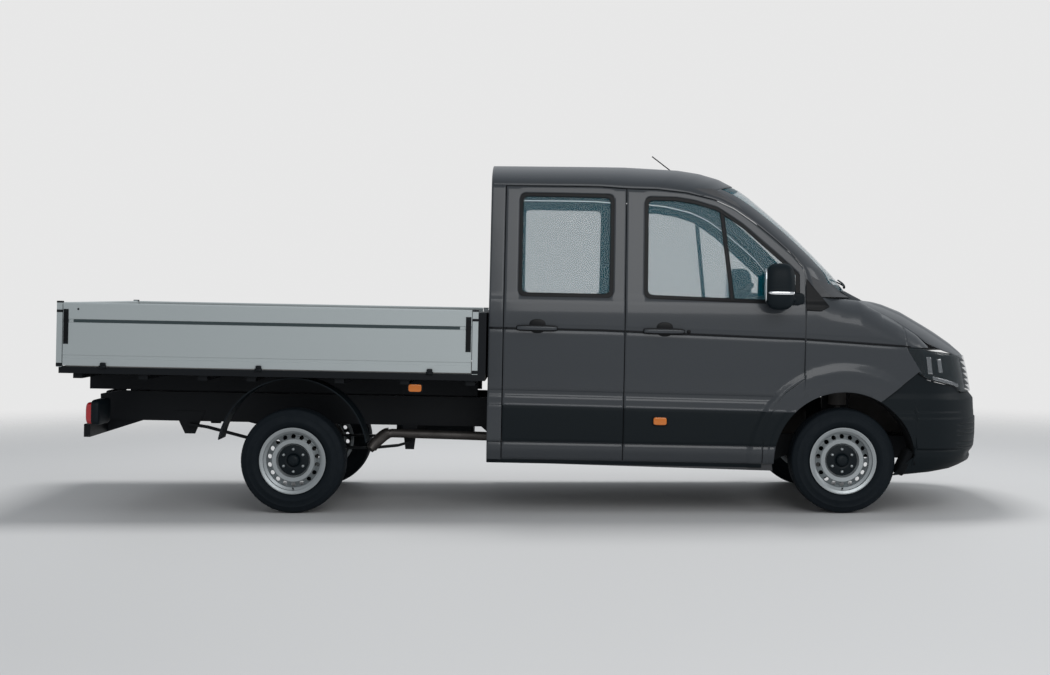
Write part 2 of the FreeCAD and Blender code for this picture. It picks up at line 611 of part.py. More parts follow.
# Rear mudguards: a flat band bent over each wheel, cut level at both ends.
guards = []
for name, side in SIDES:
    y_low = 745 if side > 0 else -985
    centre = Vector(-1557, y_low, 330)
    band = Part.makeCylinder(mm("guard_radius"), 240, centre, Vector(0, 1, 0))
    band = band.cut(Part.makeCylinder(mm("guard_radius") - mm("guard_thick"), 240, centre, Vector(0, 1, 0)))
    guards.append(band.common(block((-2200, -900), (-1100, 1100), (410, 900))))
shape_node("mudguards", Part.makeCompound(guards))

# ---------------------------------------------------------------- bed
bearers = [box(f"{name}_bearer", (-3034, -360), (f"{side * mm('rail_y')} - bearer_width/2",
                                                  f"{side * mm('rail_y')} + bearer_width/2"),
               ("bearer_bottom", "bearer_top")) for name, side in SIDES]
for index, x in enumerate((-3000, -2570, -2180, -1860, -1280, -850, -420)):
    bearers.append(box(f"cross_bearer_{index}", (x, x + MEMBER_LENGTH), (-1015, 1015),
                       ("bearer_top", "floor_bottom")))
grouped("bed_subframe", bearers)
plate = box("floor_plate", ("tray_rear + 40", "headboard_rear - 3"),
            ("edge_width - floor_half - 2", "floor_half - edge_width + 2"), ("floor_top - 18", "floor_top"))
rims = [plate]
for name, side in SIDES:
    y0, y1 = sorted((side * mm("floor_half"), side * (mm("floor_half") - mm("edge_width"))))
    rims.append(box(f"{name}_floor_edge", ("tray_rear + 19", "headboard_front"), (y0, y1),
                    ("floor_bottom", "floor_top - 3")))
rims.append(box("rear_floor_edge", ("tray_rear + 19", "tray_rear + 59"), ("-floor_half", "floor_half"),
                ("floor_bottom", "floor_top - 3")))
rims.append(box("front_floor_edge", ("headboard_rear - 20", "headboard_front"),
                ("-floor_half", "floor_half"), ("floor_bottom", "floor_top - 3")))
joined("bed_floor", rims)
posts = []
for name, side in SIDES:
    y0, y1 = sorted((side * mm("tray_half"), side * (mm("tray_half") - mm("post_width"))))
    posts.append(box(f"{name}_front_post", ("tray_front", "tray_front + post_length"), (y0, y1),
                     ("floor_top - 3", "post_top - 9")))
    posts.append(box(f"{name}_rear_post", ("tray_rear", "tray_rear + post_length"), (y0, y1),
                     ("floor_top - 3", "post_top")))
grouped("corner_posts", posts)
head_panel = box("head_panel", ("headboard_rear", "headboard_front"), (-1060, 1060),
                 ("floor_top - 3", 1280))
grouped("headboard", [head_panel])

BOARD_ENDS = ("tray_rear + post_length + board_gap", "tray_front - board_gap")
for name, side in SIDES:
    y0, y1 = sorted((side * mm("tray_half"), side * (mm("tray_half") - mm("board_thick"))))
    parts = [box(f"{name}_board", BOARD_ENDS, (y0, y1), ("board_bottom", "board_top"))]
    hinge_y = side * (mm("tray_half") + mm("hinge_out"))
    for index, x in enumerate((-2792, -1774, -655)):
        strap = sorted((side * (mm("tray_half") - 3), hinge_y))
        parts.append(box(f"{name}_strap_{index}", (x - 30, x + 30), strap, ("hinge_z + 2", "hinge_z + 40")))
        parts.append(rod(f"{name}_knuckle_{index}", "x", (x - 30, hinge_y, "hinge_z"), 60, "hinge_radius"))
    joined(f"{name}_dropside", parts)
parts = [box("tail_board", ("tray_rear + 12", "tray_rear + 12 + board_thick"),
             ("board_gap + post_width - tray_half", "tray_half - post_width - board_gap"),
             ("board_bottom", "board_top"))]
for index, y in enumerate((-700, 0, 700)):
    parts.append(box(f"tail_strap_{index}", ("tray_rear + 6", "tray_rear + 15"), (y - 30, y + 30),
                     ("hinge_z + 2", "hinge_z + 40")))
    parts.append(rod(f"tail_knuckle_{index}", "y", ("tray_rear + 6", y - 30, "hinge_z"), 60, 7))
joined("tailgate", parts)

lamps = []
for name, side in SIDES:
    y0, y1 = sorted((side * 640, side * 960))
    lamps.append(box(f"{name}_rear_lamp", (-2950, -2862), (y0, y1), (500, 640)))
grouped("rear_lamps", lamps)

# Mirrors: a rounded housing on an arm that is bolted to the door's front corner.
MIRROR_CASE = [(1514, 1362), (1530, 1342), (1698, 1335), (1714, 1352), (1708, 1585), (1688, 1628),
               (1655, 1642), (1560, 1642), (1530, 1628), (1518, 1600)]
MIRROR_ARM = [(1630, 1385), (1700, 1378), (1790, 1385), (1800, 1440), (1690, 1440), (1630, 1425)]
for name, side in SIDES:
    y0, y1 = sorted((side * 1062, side * 1235))
    a0, a1 = sorted((side * 900, side * 1075))
    mirror = side_prism(MIRROR_CASE, y0, y1).fuse(side_prism(MIRROR_ARM, a0, a1).cut(OUTER))
    shape_node(f"{name}_mirror", largest(mirror.removeSplitter()))

# Aerial: a thin rod that leans back from a small foot on the roof.
aerial_foot = Vector(1005, 0, 2290)
aerial = Part.makeCylinder(4, 204, aerial_foot, Vector(-164, 0, 122))
aerial = aerial.fuse(Part.makeCone(22, 12, 28, aerial_foot - Vector(0, 0, 4), Vector(0, 0, 1)))
shape_node("aerial", largest(aerial.cut(OUTER).removeSplitter()))

# ---------------------------------------------------------------- check and write
doc.recompute()
for item in doc.Objects:
    if "Invalid" in item.State or "Error" in item.State:
        raise RuntimeError(f"{item.Name} failed: {item.State}")
for item in NODES:
    if item.Shape.isNull() or not item.Shape.isValid() or not item.Shape.Solids:
        raise RuntimeError(f"{item.Label} has no valid solid")
os.makedirs("parts", exist_ok=True)
for item in NODES:
    item.Shape.exportStep(f"parts/{item.Label}.step")
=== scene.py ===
import math
import bmesh
import bpy
import numpy as np
from mathutils import Matrix, Vector


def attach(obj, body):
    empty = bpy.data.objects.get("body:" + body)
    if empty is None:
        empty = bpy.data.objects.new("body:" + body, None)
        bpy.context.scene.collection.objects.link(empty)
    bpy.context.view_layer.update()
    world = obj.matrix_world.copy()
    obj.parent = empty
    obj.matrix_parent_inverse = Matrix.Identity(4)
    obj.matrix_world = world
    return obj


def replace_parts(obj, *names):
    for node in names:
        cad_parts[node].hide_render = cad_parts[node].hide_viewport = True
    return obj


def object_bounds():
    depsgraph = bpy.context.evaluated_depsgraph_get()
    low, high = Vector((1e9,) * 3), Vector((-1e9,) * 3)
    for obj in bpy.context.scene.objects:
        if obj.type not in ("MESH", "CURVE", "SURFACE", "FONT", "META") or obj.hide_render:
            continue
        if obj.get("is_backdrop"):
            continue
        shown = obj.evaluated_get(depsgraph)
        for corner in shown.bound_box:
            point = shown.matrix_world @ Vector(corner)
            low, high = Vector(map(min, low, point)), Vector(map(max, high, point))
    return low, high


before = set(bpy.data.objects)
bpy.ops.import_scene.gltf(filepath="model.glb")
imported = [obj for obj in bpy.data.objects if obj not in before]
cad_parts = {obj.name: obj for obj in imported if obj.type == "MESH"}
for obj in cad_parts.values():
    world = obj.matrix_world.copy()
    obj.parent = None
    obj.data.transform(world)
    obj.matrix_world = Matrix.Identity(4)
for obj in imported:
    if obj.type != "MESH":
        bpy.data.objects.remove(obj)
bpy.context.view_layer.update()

# ---------------------------------------------------------------- studio
# A pale seamless floor, a soft white surround and three large lamps.  The camera stands level,
# square to the truck's right side, a little ahead of its middle.
scene = bpy.context.scene
scene.view_settings.view_transform = "Standard"
CAMERA_AT = (0.085, -12.209, 1.447)
LENS = 58.4
camera_data = bpy.data.cameras.new("camera")
camera_data.lens = LENS
camera_data.sensor_width = 36.0
camera_data.shift_x = -0.0152
camera_data.shift_y = -0.0410
camera_data.clip_end = 200.0
camera = bpy.data.objects.new("camera", camera_data)
camera.location = CAMERA_AT
camera.rotation_euler = (math.pi / 2, 0, 0)
scene.collection.objects.link(camera)
scene.camera = camera


SIDES = ((1, "left"), (-1, "right"))


def new_material(name, slot=None, **inputs):
    """A node material whose Principled shader takes the inputs named; the slot, the record's material slot
    that pieces in this material belong to, is not used."""
    material = bpy.data.materials.new(name)
    material.use_nodes = True
    shader = material.node_tree.nodes["Principled BSDF"]
    for key, value in inputs.items():
        shader.inputs[key.replace("_", " ")].default_value = value
    return material


def link(material, start, end):
    """Joins an output socket to an input socket."""
    material.node_tree.links.new(start, end)


def texture(material, kind="Noise", stretch=None, **inputs):
    """A procedural texture laid out in the piece's own coordinates; gives its node."""
    nodes = material.node_tree.nodes
    place = nodes.new("ShaderNodeTexCoord").outputs["Object"]
    if stretch:
        mapping = nodes.new("ShaderNodeMapping")
        mapping.inputs["Scale"].default_value = stretch
        link(material, place, mapping.inputs["Vector"])
        place = mapping.outputs["Vector"]
    node = nodes.new(f"ShaderNodeTex{kind}")
    for key, value in inputs.items():
        node.inputs[key].default_value = value
    link(material, place, node.inputs["Vector"])
    return node


def gloss(material, height, low, high):
    """Lets a texture's output set the roughness between two values."""
    nodes = material.node_tree.nodes
    spread = nodes.new("ShaderNodeMapRange")
    spread.inputs["To Min"].default_value = low
    spread.inputs["To Max"].default_value = high
    link(material, height, spread.inputs["Value"])
    link(material, spread.outputs["Result"], nodes["Principled BSDF"].inputs["Roughness"])


def tones(material, height, dark, light):
    """Lets a texture's output set the base colour between two colours."""
    nodes = material.node_tree.nodes
    ramp = nodes.new("ShaderNodeValToRGB")
    ramp.color_ramp.elements[0].color = (*dark, 1)
    ramp.color_ramp.elements[1].color = (*light, 1)
    link(material, height, ramp.inputs["Fac"])
    link(material, ramp.outputs["Color"], nodes["Principled BSDF"].inputs["Base Color"])


def relief(material, height, strength, distance):
    """Lets a texture's output raise the surface by a distance in metres."""
    nodes = material.node_tree.nodes
    bump = nodes.new("ShaderNodeBump")
    bump.inputs["Strength"].default_value = strength
    bump.inputs["Distance"].default_value = distance
    link(material, height, bump.inputs["Height"])
    link(material, bump.outputs["Normal"], nodes["Principled BSDF"].inputs["Normal"])


def put_mesh(name, vertices, faces, material, body, smooth=True):
    """A mesh object made of vertices in metres and faces, riding on a body."""
    mesh = bpy.data.meshes.new(name)
    mesh.from_pydata([tuple(v) for v in np.asarray(vertices, dtype=float)], [],
                     [tuple(int(i) for i in f) for f in faces])
    mesh.validate()
    mesh.polygons.foreach_set("use_smooth", np.full(len(mesh.polygons), smooth))
    mesh.materials.append(material)
    mesh.update()
    piece = bpy.data.objects.new(name, mesh)
    scene.collection.objects.link(piece)
    if body:
        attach(piece, body)
    return piece


def finish_nodes(material, *names):
    """Gives frame nodes that stay in view a finished material."""
    for name in names:
        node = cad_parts[name]
        node.data.materials.clear()
        node.data.materials.append(material)


FLOOR_COLOUR = (0.56, 0.56, 0.56, 1)
FLOOR_HALF = 12.0
FADE_FROM, FADE_TO = 5.5, 11.5
floor_material = new_material("studio_floor", Base_Color=FLOOR_COLOUR, Roughness=0.6)
nodes = floor_material.node_tree.nodes
floor_place = nodes.new("ShaderNodeTexCoord")
from_middle = nodes.new("ShaderNodeVectorMath")
from_middle.operation = "LENGTH"
link(floor_material, floor_place.outputs["Object"], from_middle.inputs[0])
fade = nodes.new("ShaderNodeMapRange")
fade.interpolation_type = "SMOOTHSTEP"
fade.inputs["From Min"].default_value = FADE_FROM
fade.inputs["From Max"].default_value = FADE_TO
link(floor_material, from_middle.outputs["Value"], fade.inputs["Value"])
clear = nodes.new("ShaderNodeBsdfTransparent")
blend = nodes.new("ShaderNodeMixShader")
link(floor_material, fade.outputs["Result"], blend.inputs["Fac"])
link(floor_material, nodes["Principled BSDF"].outputs["BSDF"], blend.inputs[1])
link(floor_material, clear.outputs["BSDF"], blend.inputs[2])
link(floor_material, blend.outputs["Shader"], nodes["Material Output"].inputs["Surface"])
corners = np.array([[-1, -1, 0], [1, -1, 0], [1, 1, 0], [-1, 1, 0]]) * FLOOR_HALF
studio_floor = put_mesh("studio_floor", corners, [(0, 1, 2, 3)], floor_material, None)
studio_floor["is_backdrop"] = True

BACKDROP = (0.802, 0.802, 0.802, 1)
SKY_LIGHT = (0.46, 0.48, 0.50, 1)
world = bpy.data.worlds.new("studio")
scene.world = world
world.use_nodes = True
sky_nodes = world.node_tree.nodes
sky = sky_nodes["Background"]
sky.inputs["Color"].default_value = SKY_LIGHT
backdrop = sky_nodes.new("ShaderNodeBackground")
backdrop.inputs["Color"].default_value = BACKDROP
rays = sky_nodes.new("ShaderNodeLightPath")
seen = sky_nodes.new("ShaderNodeMath")
seen.operation = "MAXIMUM"
link(world, rays.outputs["Is Camera Ray"], seen.inputs[0])
link(world, rays.outputs["Is Transmission Ray"], seen.inputs[1])
choose = sky_nodes.new("ShaderNodeMixShader")
link(world, seen.outputs["Value"], choose.inputs["Fac"])
link(world, sky.outputs["Background"], choose.inputs[1])
link(world, backdrop.outputs["Background"], choose.inputs[2])
link(world, choose.outputs["Shader"], sky_nodes["World Output"].inputs["Surface"])


def area_lamp(name, place, target, size, power, glossy=True):
    """A soft square lamp of a size in metres that looks at a target; glossy ones show in reflections."""
    lamp = bpy.data.lights.new(name, "AREA")
    lamp.size = size
    lamp.energy = power
    holder = bpy.data.objects.new(name, lamp)
    holder.location = place
    direction = np.array(target) - np.array(place)
    flat = math.hypot(direction[0], direction[1])
    holder.rotation_euler = (math.atan2(flat, -direction[2]), 0,
                             math.atan2(direction[1], direction[0]) - math.pi / 2)
    holder.visible_glossy = glossy
    scene.collection.objects.link(holder)


area_lamp("roof_lamp", (0.2, 2.2, 9.0), (0, 0, 0), 3.2, 640, glossy=False)
area_lamp("side_lamp", (2.0, -9.5, 5.0), (0.0, 0, 1.0), 5.0, 260)
area_lamp("front_lamp", (9.0, -2.0, 4.0), (1.5, 0, 1.0), 4.0, 140)

# ---------------------------------------------------------------- body colour and body frame
# Cab, frame and bed lean nose-down by about a degree on the unladen springs.  Their pieces are worked
# out level, in millimetres, then turned about the front axle line.
RAKE = math.radians(1.1)
PIVOT = (2082.0, 338.0)


def raked(points):
    """Level body points in millimetres, turned nose-down about the pivot, in metres."""
    points = np.asarray(points, dtype=float)
    x = points[..., 0] - PIVOT[0]
    z = points[..., 2] - PIVOT[1]
    out = np.empty_like(points)
    out[..., 0] = PIVOT[0] + x * math.cos(RAKE) + z * math.sin(RAKE)
    out[..., 1] = points[..., 1]
    out[..., 2] = PIVOT[1] - x * math.sin(RAKE) + z * math.cos(RAKE)
    return out / 1000


def grid_faces(rows, columns, closed_rows=False, closed_columns=False):
    """Quads of a grid of rows by columns points, wrapped round where it is closed."""
    row = np.arange(rows if closed_rows else rows - 1)
    column = np.arange(columns if closed_columns else columns - 1)
    r, c = np.meshgrid(row, column, indexing="ij")
    r2 = (r + 1) % rows
    c2 = (c + 1) % columns
    quads = np.stack([r * columns + c, r * columns + c2, r2 * columns + c2, r2 * columns + c], axis=-1)
    return quads.reshape(-1, 4)


BODY_MIDDLE = np.array((0.9, 0.0, 1.0))


def clean(piece, distance=0.0002, outwards=False):
    """Merges doubles and turns the faces outwards, for an open skin away from the truck's middle."""
    shell = bmesh.new()
    shell.from_mesh(piece.data)
    bmesh.ops.remove_doubles(shell, verts=shell.verts, dist=distance)
    bmesh.ops.dissolve_degenerate(shell, edges=shell.edges, dist=distance)
    bmesh.ops.recalc_face_normals(shell, faces=shell.faces)
    away = sum(face.calc_area() * face.normal.dot(face.calc_center_median() - Vector(BODY_MIDDLE))
               for face in shell.faces)
    if outwards and away < 0:
        bmesh.ops.reverse_faces(shell, faces=shell.faces)
    shell.to_mesh(piece.data)
    shell.free()


paint = new_material("body_paint", "cab_paint", Base_Color=(0.036, 0.041, 0.047, 1), Coat_Weight=0.32,
                     Coat_Roughness=0.08, Specular_IOR_Level=0.25)
gloss(paint, texture(paint, Scale=900.0).outputs["Fac"], 0.31, 0.38)


def plastic(name, colour, roughness, grain, slot="black_plastic"):
    """Grained moulded plastic: a fine noise gives the bump and breaks up the gloss."""
    material = new_material(name, slot, Base_Color=(*colour, 1), Specular_IOR_Level=0.16)
    noise = texture(material, Scale=700.0, Detail=3.0)
    gloss(material, noise.outputs["Fac"], roughness - 0.06, roughness + 0.08)
    relief(material, noise.outputs["Fac"], grain, 0.0006)
    return material


black_plastic = plastic("moulded_black", (0.0035, 0.0075, 0.0105), 0.5, 0.35)
dark_rubber = plastic("dark_rubber", (0.003, 0.006, 0.008), 0.7, 0.2)

# ---------------------------------------------------------------- cab side panels
# Pressed steel outer skins of doors, rear corner and wing.  One surface carries them all: a
# cross-section with tumblehome, a shoulder crease, a rubbing groove, two folds above the
# cladding and a flare round the front wheel.  The groove's dark line is painted shade, drawn by thin
# black strips laid along it.
SECTION = ((240, 962), (300, 974), (345, 988), (385, 1001), (420, 1005), (432, 999), (437, 1003),
           (441, 1014), (640, 1019), (678, 1019), (684, 1011), (760, 1012), (900, 1017), (1170, 1021),
           (1290, 1018), (1369, 1010), (1400, 996), (1600, 971), (1850, 937), (2085, 901), (2140, 889))
ARCH_CENTRE = (2082.0, 338.0)
ARCH_RADIUS = 466.0
FLARE_RADIUS = 632.0
GROOVE_LINE = ((-273, 1183), (456, 1180), (1114, 1164), (1802, 1147), (2480, 1112))
SILL_LINE = 437.0
CLAD_LINE = 680.0
NOSE_START = 2300.0
NOSE_LENGTH = 780.0
NOSE_POWER = 3.7
SIDE_POWER = 2.85


def groove_height(x):
    """Height of the rubbing groove along the cab."""
    xs, zs = zip(*GROOVE_LINE)
    return np.interp(x, xs, zs)


def fall(x):
    """The folds and the cladding's edge fall a little towards the front wheel."""
    return np.interp(x, (-275, 2000), (0, -14))


def step(value, start, end):
    """A smooth rise from 0 to 1 between two values."""
    t = np.clip((value - start) / (end - start), 0, 1)
    return t * t * (3 - 2 * t)


def side_y(x, z, detail=True):
    """Half-width of the skin: section by height, plan taper of the nose, then the pressed details."""
    heights, widths = zip(*SECTION)
    y = np.interp(z - np.where((z > 500) & (z < 760), fall(x), 0), heights, widths)
    along = np.clip((x - NOSE_START) / NOSE_LENGTH, 0, 0.999)
    y = y * (1 - along ** NOSE_POWER) ** (1 / SIDE_POWER)
    if not detail:
        return y
    groove = np.exp(-((z - groove_height(x)) / 7.0) ** 4)
    y = y - 7.0 * groove * (x < 2460)
    drop = fall(x)
    fold = step(z, 783 + drop, 776 + drop) * (1 - step(z, 746 + drop, 739 + drop))
    radius = np.hypot(x - ARCH_CENTRE[0], z - ARCH_CENTRE[1])
    flare = step(radius, FLARE_RADIUS + 14, FLARE_RADIUS - 18) * (z < 1100)
    y = y - 5.0 * fold * (1 - flare) + 15.0 * flare - 5.0 * step(radius, 514, 502) * flare
    return y


cladding = plastic("cladding", (0.0035, 0.007, 0.0095), 0.5, 0.3)
door_lining = plastic("door_lining", (0.016, 0.018, 0.020), 0.62, 0.4)


def stack_panel(name, xs, curves, rows, surface, body, hole=None, bands=(), thick=2.5, inner=None,
                material=None):
    """A skin between stacked height curves over the columns xs: rows of points run between each pair of
    curves and surface(x, z) places them.  The cells of one band inside the hole's columns are left out,
    and the bands named get the cladding's material instead of paint."""
    lines = np.maximum.accumulate(np.stack([np.broadcast_to(c, xs.shape) for c in curves]), axis=0)
    levels = [lines[0]]
    owner = []
    for band, count in enumerate(rows):
        for part in np.linspace(0, 1, count + 1)[1:]:
            levels.append(lines[band] + (lines[band + 1] - lines[band]) * part)
            owner.append(band)
    z = np.stack(levels)
    x = np.broadcast_to(xs, z.shape)
    points = raked(surface(x, z).reshape(-1, 3))
    quads = grid_faces(len(levels), len(xs))
    tall = np.repeat(owner, len(xs) - 1)
    keep = np.ones(len(quads), dtype=bool)
    if hole:
        band, start, end = hole
        middle = np.tile((xs[1:] + xs[:-1]) / 2, len(levels) - 1)
        keep &= ~((tall == band) & (middle > start) & (middle < end))
    heights = z.reshape(-1)[quads]
    keep &= (heights.max(axis=1) - heights.min(axis=1)) > 0.02
    piece = put_mesh(name, points, quads[keep], material or paint, body)
    piece.data.materials.append(cladding)
    if len(bands):
        piece.data.polygons.foreach_set("material_index", np.isin(tall[keep], bands).astype(int))
    finish_skin(piece, thick)
    if inner:
        piece.data.materials.append(inner)
        piece.data.materials.append(inner)
        piece.modifiers["wall"].material_offset = 2
    return piece


def finish_skin(piece, thick):
    """Merges and orients a skin, gives it a wall inwards and breaks its sharp edges."""
    clean(piece, outwards=True)
    wall = piece.modifiers.new("wall", "SOLIDIFY")
    wall.thickness = thick / 1000
    wall.offset = -1
    wall.use_even_offset = True
    wall.thickness_clamp = 2.0
    edge = piece.modifiers.new("edge", "BEVEL")
    edge.width = 0.001
    edge.segments = 1
    edge.limit_method = "ANGLE"
    edge.angle_limit = math.radians(50)


def on_side(side):
    """The side surface on one side of the truck, as a function of x and z."""
    return lambda x, z: np.stack([x, side * side_y(x, z), z], axis=-1)


DOOR_TOP = ((-179, 2127), (300, 2131), (442, 2131), (621, 2121), (823, 2119), (1014, 2101), (1206, 2058),
            (1334, 2002), (1463, 1915), (1592, 1813), (1721, 1702), (1786, 1626), (1809, 1540))
GAP = 3.0
DOOR_BOTTOM = 322.0
DOOR_HEEL = ((624, 322), (1536, 322), (1540, 464), (1554, 555), (1586, 646), (1630, 726), (1685, 795),
             (1809, 888))


def along(table, x):
    """Linear interpolation in a table of (x, value)."""
    xs, values = zip(*table)
    return np.interp(x, xs, values)


def arch_edge(x, radius):
    """Height of a circle round the front wheel's centre line, above that line."""
    reach = np.clip(radius ** 2 - (x - ARCH_CENTRE[0]) ** 2, 0, None)
    return ARCH_CENTRE[1] + np.sqrt(reach)


def corner(x, start, end, radius):
    """How far a rounded corner eats into an opening at x: 0 in the middle, the radius at the ends."""
    near = np.clip(np.minimum(x - start, end - x), 0, radius)
    return radius - np.sqrt(radius ** 2 - (radius - near) ** 2)


def columns(*stops):
    """Column positions along the truck: evenly split between stops of (x, count)."""
    out = [np.array([stops[0][0]], dtype=float)]
    for (start, _), (end, count) in zip(stops, stops[1:]):
        out.append(np.linspace(start, end, count + 1)[1:])
    return np.concatenate(out)


WINDOW_CORNER = 42.0
REAR_OPENING = (-88.0, 541.0)
WINDOW_FOOT = 1394.0
WINDOW_HEAD = 2084.0
FRONT_OPENING = (742.0, 1768.0)
FRONT_FOOT = ((742, 1394), (1600, 1374), (1768, 1372))
FRONT_HEAD = ((742, 2073), (949, 2072), (1076, 2053), (1229, 2008), (1396, 1897), (1524, 1786), (1654, 1674),
              (1768, 1572))


def side_bands(xs, foot):
    """The height curves that the pressed details need, from a panel's foot up to the window."""
    groove = groove_height(xs)
    drop = fall(xs)
    low = [SILL_LINE - 10, SILL_LINE, SILL_LINE + 4, CLAD_LINE + drop - 2, CLAD_LINE + drop + 4]
    folds = [739 + drop, 746 + drop, 776 + drop, 783 + drop]
    high = [groove - 11, groove - 5, groove + 5, groove + 11, 1330.0, 1376.0]
    return [np.maximum(curve, foot) for curve in [foot] + low + folds + high]


BAND_ROWS = [6, 2, 1, 10, 1, 3, 2, 2, 2, 14, 2, 2, 2, 5, 3]
CLAD_BANDS = (3,)
BACK_X = -275.0
DOOR_WALL = 38.0
rear_columns = columns((-176, 0), (-88, 6), (-46, 12), (499, 24), (541, 12), (618, 6))
front_columns = columns((624, 0), (742, 8), (784, 12), (1500, 36), (1768, 30), (1806, 8))
for side, hand in SIDES:
    corner_columns = columns((BACK_X, 0), (-182, 8))
    stack_panel(f"{hand}_rear_corner", corner_columns,
                side_bands(corner_columns, 300.0) + [2130.0], BAND_ROWS + [40], on_side(side), "root",
                thick=DOOR_WALL)
    bite = corner(rear_columns, *REAR_OPENING, WINDOW_CORNER)
    skin = stack_panel(f"rear_{hand}_door_skin", rear_columns,
                       side_bands(rear_columns, DOOR_BOTTOM) + [WINDOW_FOOT + bite, WINDOW_HEAD - bite,
                                                         along(DOOR_TOP, rear_columns) - GAP],
                       BAND_ROWS + [2, 30, 4], on_side(side), f"rear_{hand}_door",
                       hole=(16, *REAR_OPENING), bands=CLAD_BANDS, thick=DOOR_WALL, inner=door_lining)
    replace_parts(skin, f"rear_{hand}_door")
    foot = along(DOOR_HEEL, front_columns)
    bite = corner(front_columns, FRONT_OPENING[0], 9000, WINDOW_CORNER)
    skin = stack_panel(f"front_{hand}_door_skin", front_columns,
                       side_bands(front_columns, foot) + [along(FRONT_FOOT, front_columns) + bite,
                                                          along(FRONT_HEAD, front_columns) - bite,
                                                          along(DOOR_TOP, front_columns) - GAP],
                       BAND_ROWS + [2, 30, 4], on_side(side), f"front_{hand}_door",
                       hole=(16, *FRONT_OPENING), bands=CLAD_BANDS, thick=DOOR_WALL, inner=door_lining)
    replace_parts(skin, f"front_{hand}_door")

# ---------------------------------------------------------------- sills, pillars and rails
# The welded frame behind the doors: the pressed inner frame with its sill, pillars and roof rail,
# and a dark guard strip along the foot of the cab.
weld_paint = new_material("frame_paint", "cab_paint", Base_Color=(0.030, 0.032, 0.036, 1))
gloss(weld_paint, texture(weld_paint, Scale=14.0).outputs["Fac"], 0.38, 0.52)


def inner_copy(node, name, material, depth):
    """A copy of a frame node, drawn in by a depth all over, to stand behind the outer skins."""
    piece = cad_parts[node].copy()
    piece.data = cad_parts[node].data.copy()
    piece.name = name
    scene.collection.objects.link(piece)
    piece.data.materials.clear()
    piece.data.materials.append(material)
    shell = bmesh.new()
    shell.from_mesh(piece.data)
    bmesh.ops.remove_doubles(shell, verts=shell.verts, dist=0.0002)
    shell.to_mesh(piece.data)
    shell.free()
    draw_in = piece.modifiers.new("draw_in", "DISPLACE")
    draw_in.strength = -depth / 1000
    draw_in.mid_level = 0.0
    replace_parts(piece, node)
    return piece


SILL_LINE_LOW, SILL_LINE_HIGH = 294.0, 319.0
for side, hand in SIDES:
    inner_copy(f"{hand}_side_frame", f"{hand}_pillars", weld_paint, 9.0)
    sill_columns = columns((BACK_X + 2, 0), (1536, 60))
    stack_panel(f"{hand}_sill", sill_columns,
                [SILL_LINE_LOW, SILL_LINE_HIGH], [6], on_side(side), "root", material=cladding, thick=20.0)

# ---------------------------------------------------------------- door glass
# Toughened tinted panes set behind a black rubber frame; the front one has a quarter-light bar.
glass = new_material("tinted_glass", "glass", Base_Color=(0.003, 0.130, 0.180, 1), Alpha=0.235, IOR=1.5)
gloss(glass, texture(glass, Scale=6.0).outputs["Fac"], 0.015, 0.05)
seal = plastic("window_seal", (0.0035, 0.004, 0.005), 0.38, 0.15)
SEAL = 27.0
BAR_HEAD, BAR_FOOT = (1253, 1983), (1329, 1370)


def pushed(side, depth):
    """The plain side surface, moved inwards by a depth."""
    return lambda x, z: np.stack([x, side * (side_y(x, z, False) - depth), z], axis=-1)


def side_strip(name, line, width, depth, material, body, side, thick=3.0):
    """A ribbon of a width that lies on the side surface along a line of (x, z) points."""
    line = np.array(line, dtype=float)
    run = np.concatenate([[0], np.cumsum(np.hypot(*np.diff(line, axis=0).T))])
    t = np.linspace(0, run[-1], max(2, int(run[-1] / 20)))
    x = np.interp(t, run, line[:, 0])
    z = np.interp(t, run, line[:, 1])
    ahead = np.stack([np.gradient(x), np.gradient(z)])
    ahead = ahead / np.hypot(*ahead)
    share = np.linspace(-0.5, 0.5, 5)[:, None] * width
    x, z = x - share * ahead[1], z + share * ahead[0]
    points = pushed(side, depth)(x, z)
    piece = put_mesh(name, raked(points.reshape(-1, 3)), grid_faces(*x.shape), material, body)
    finish_skin(piece, thick)
    return piece
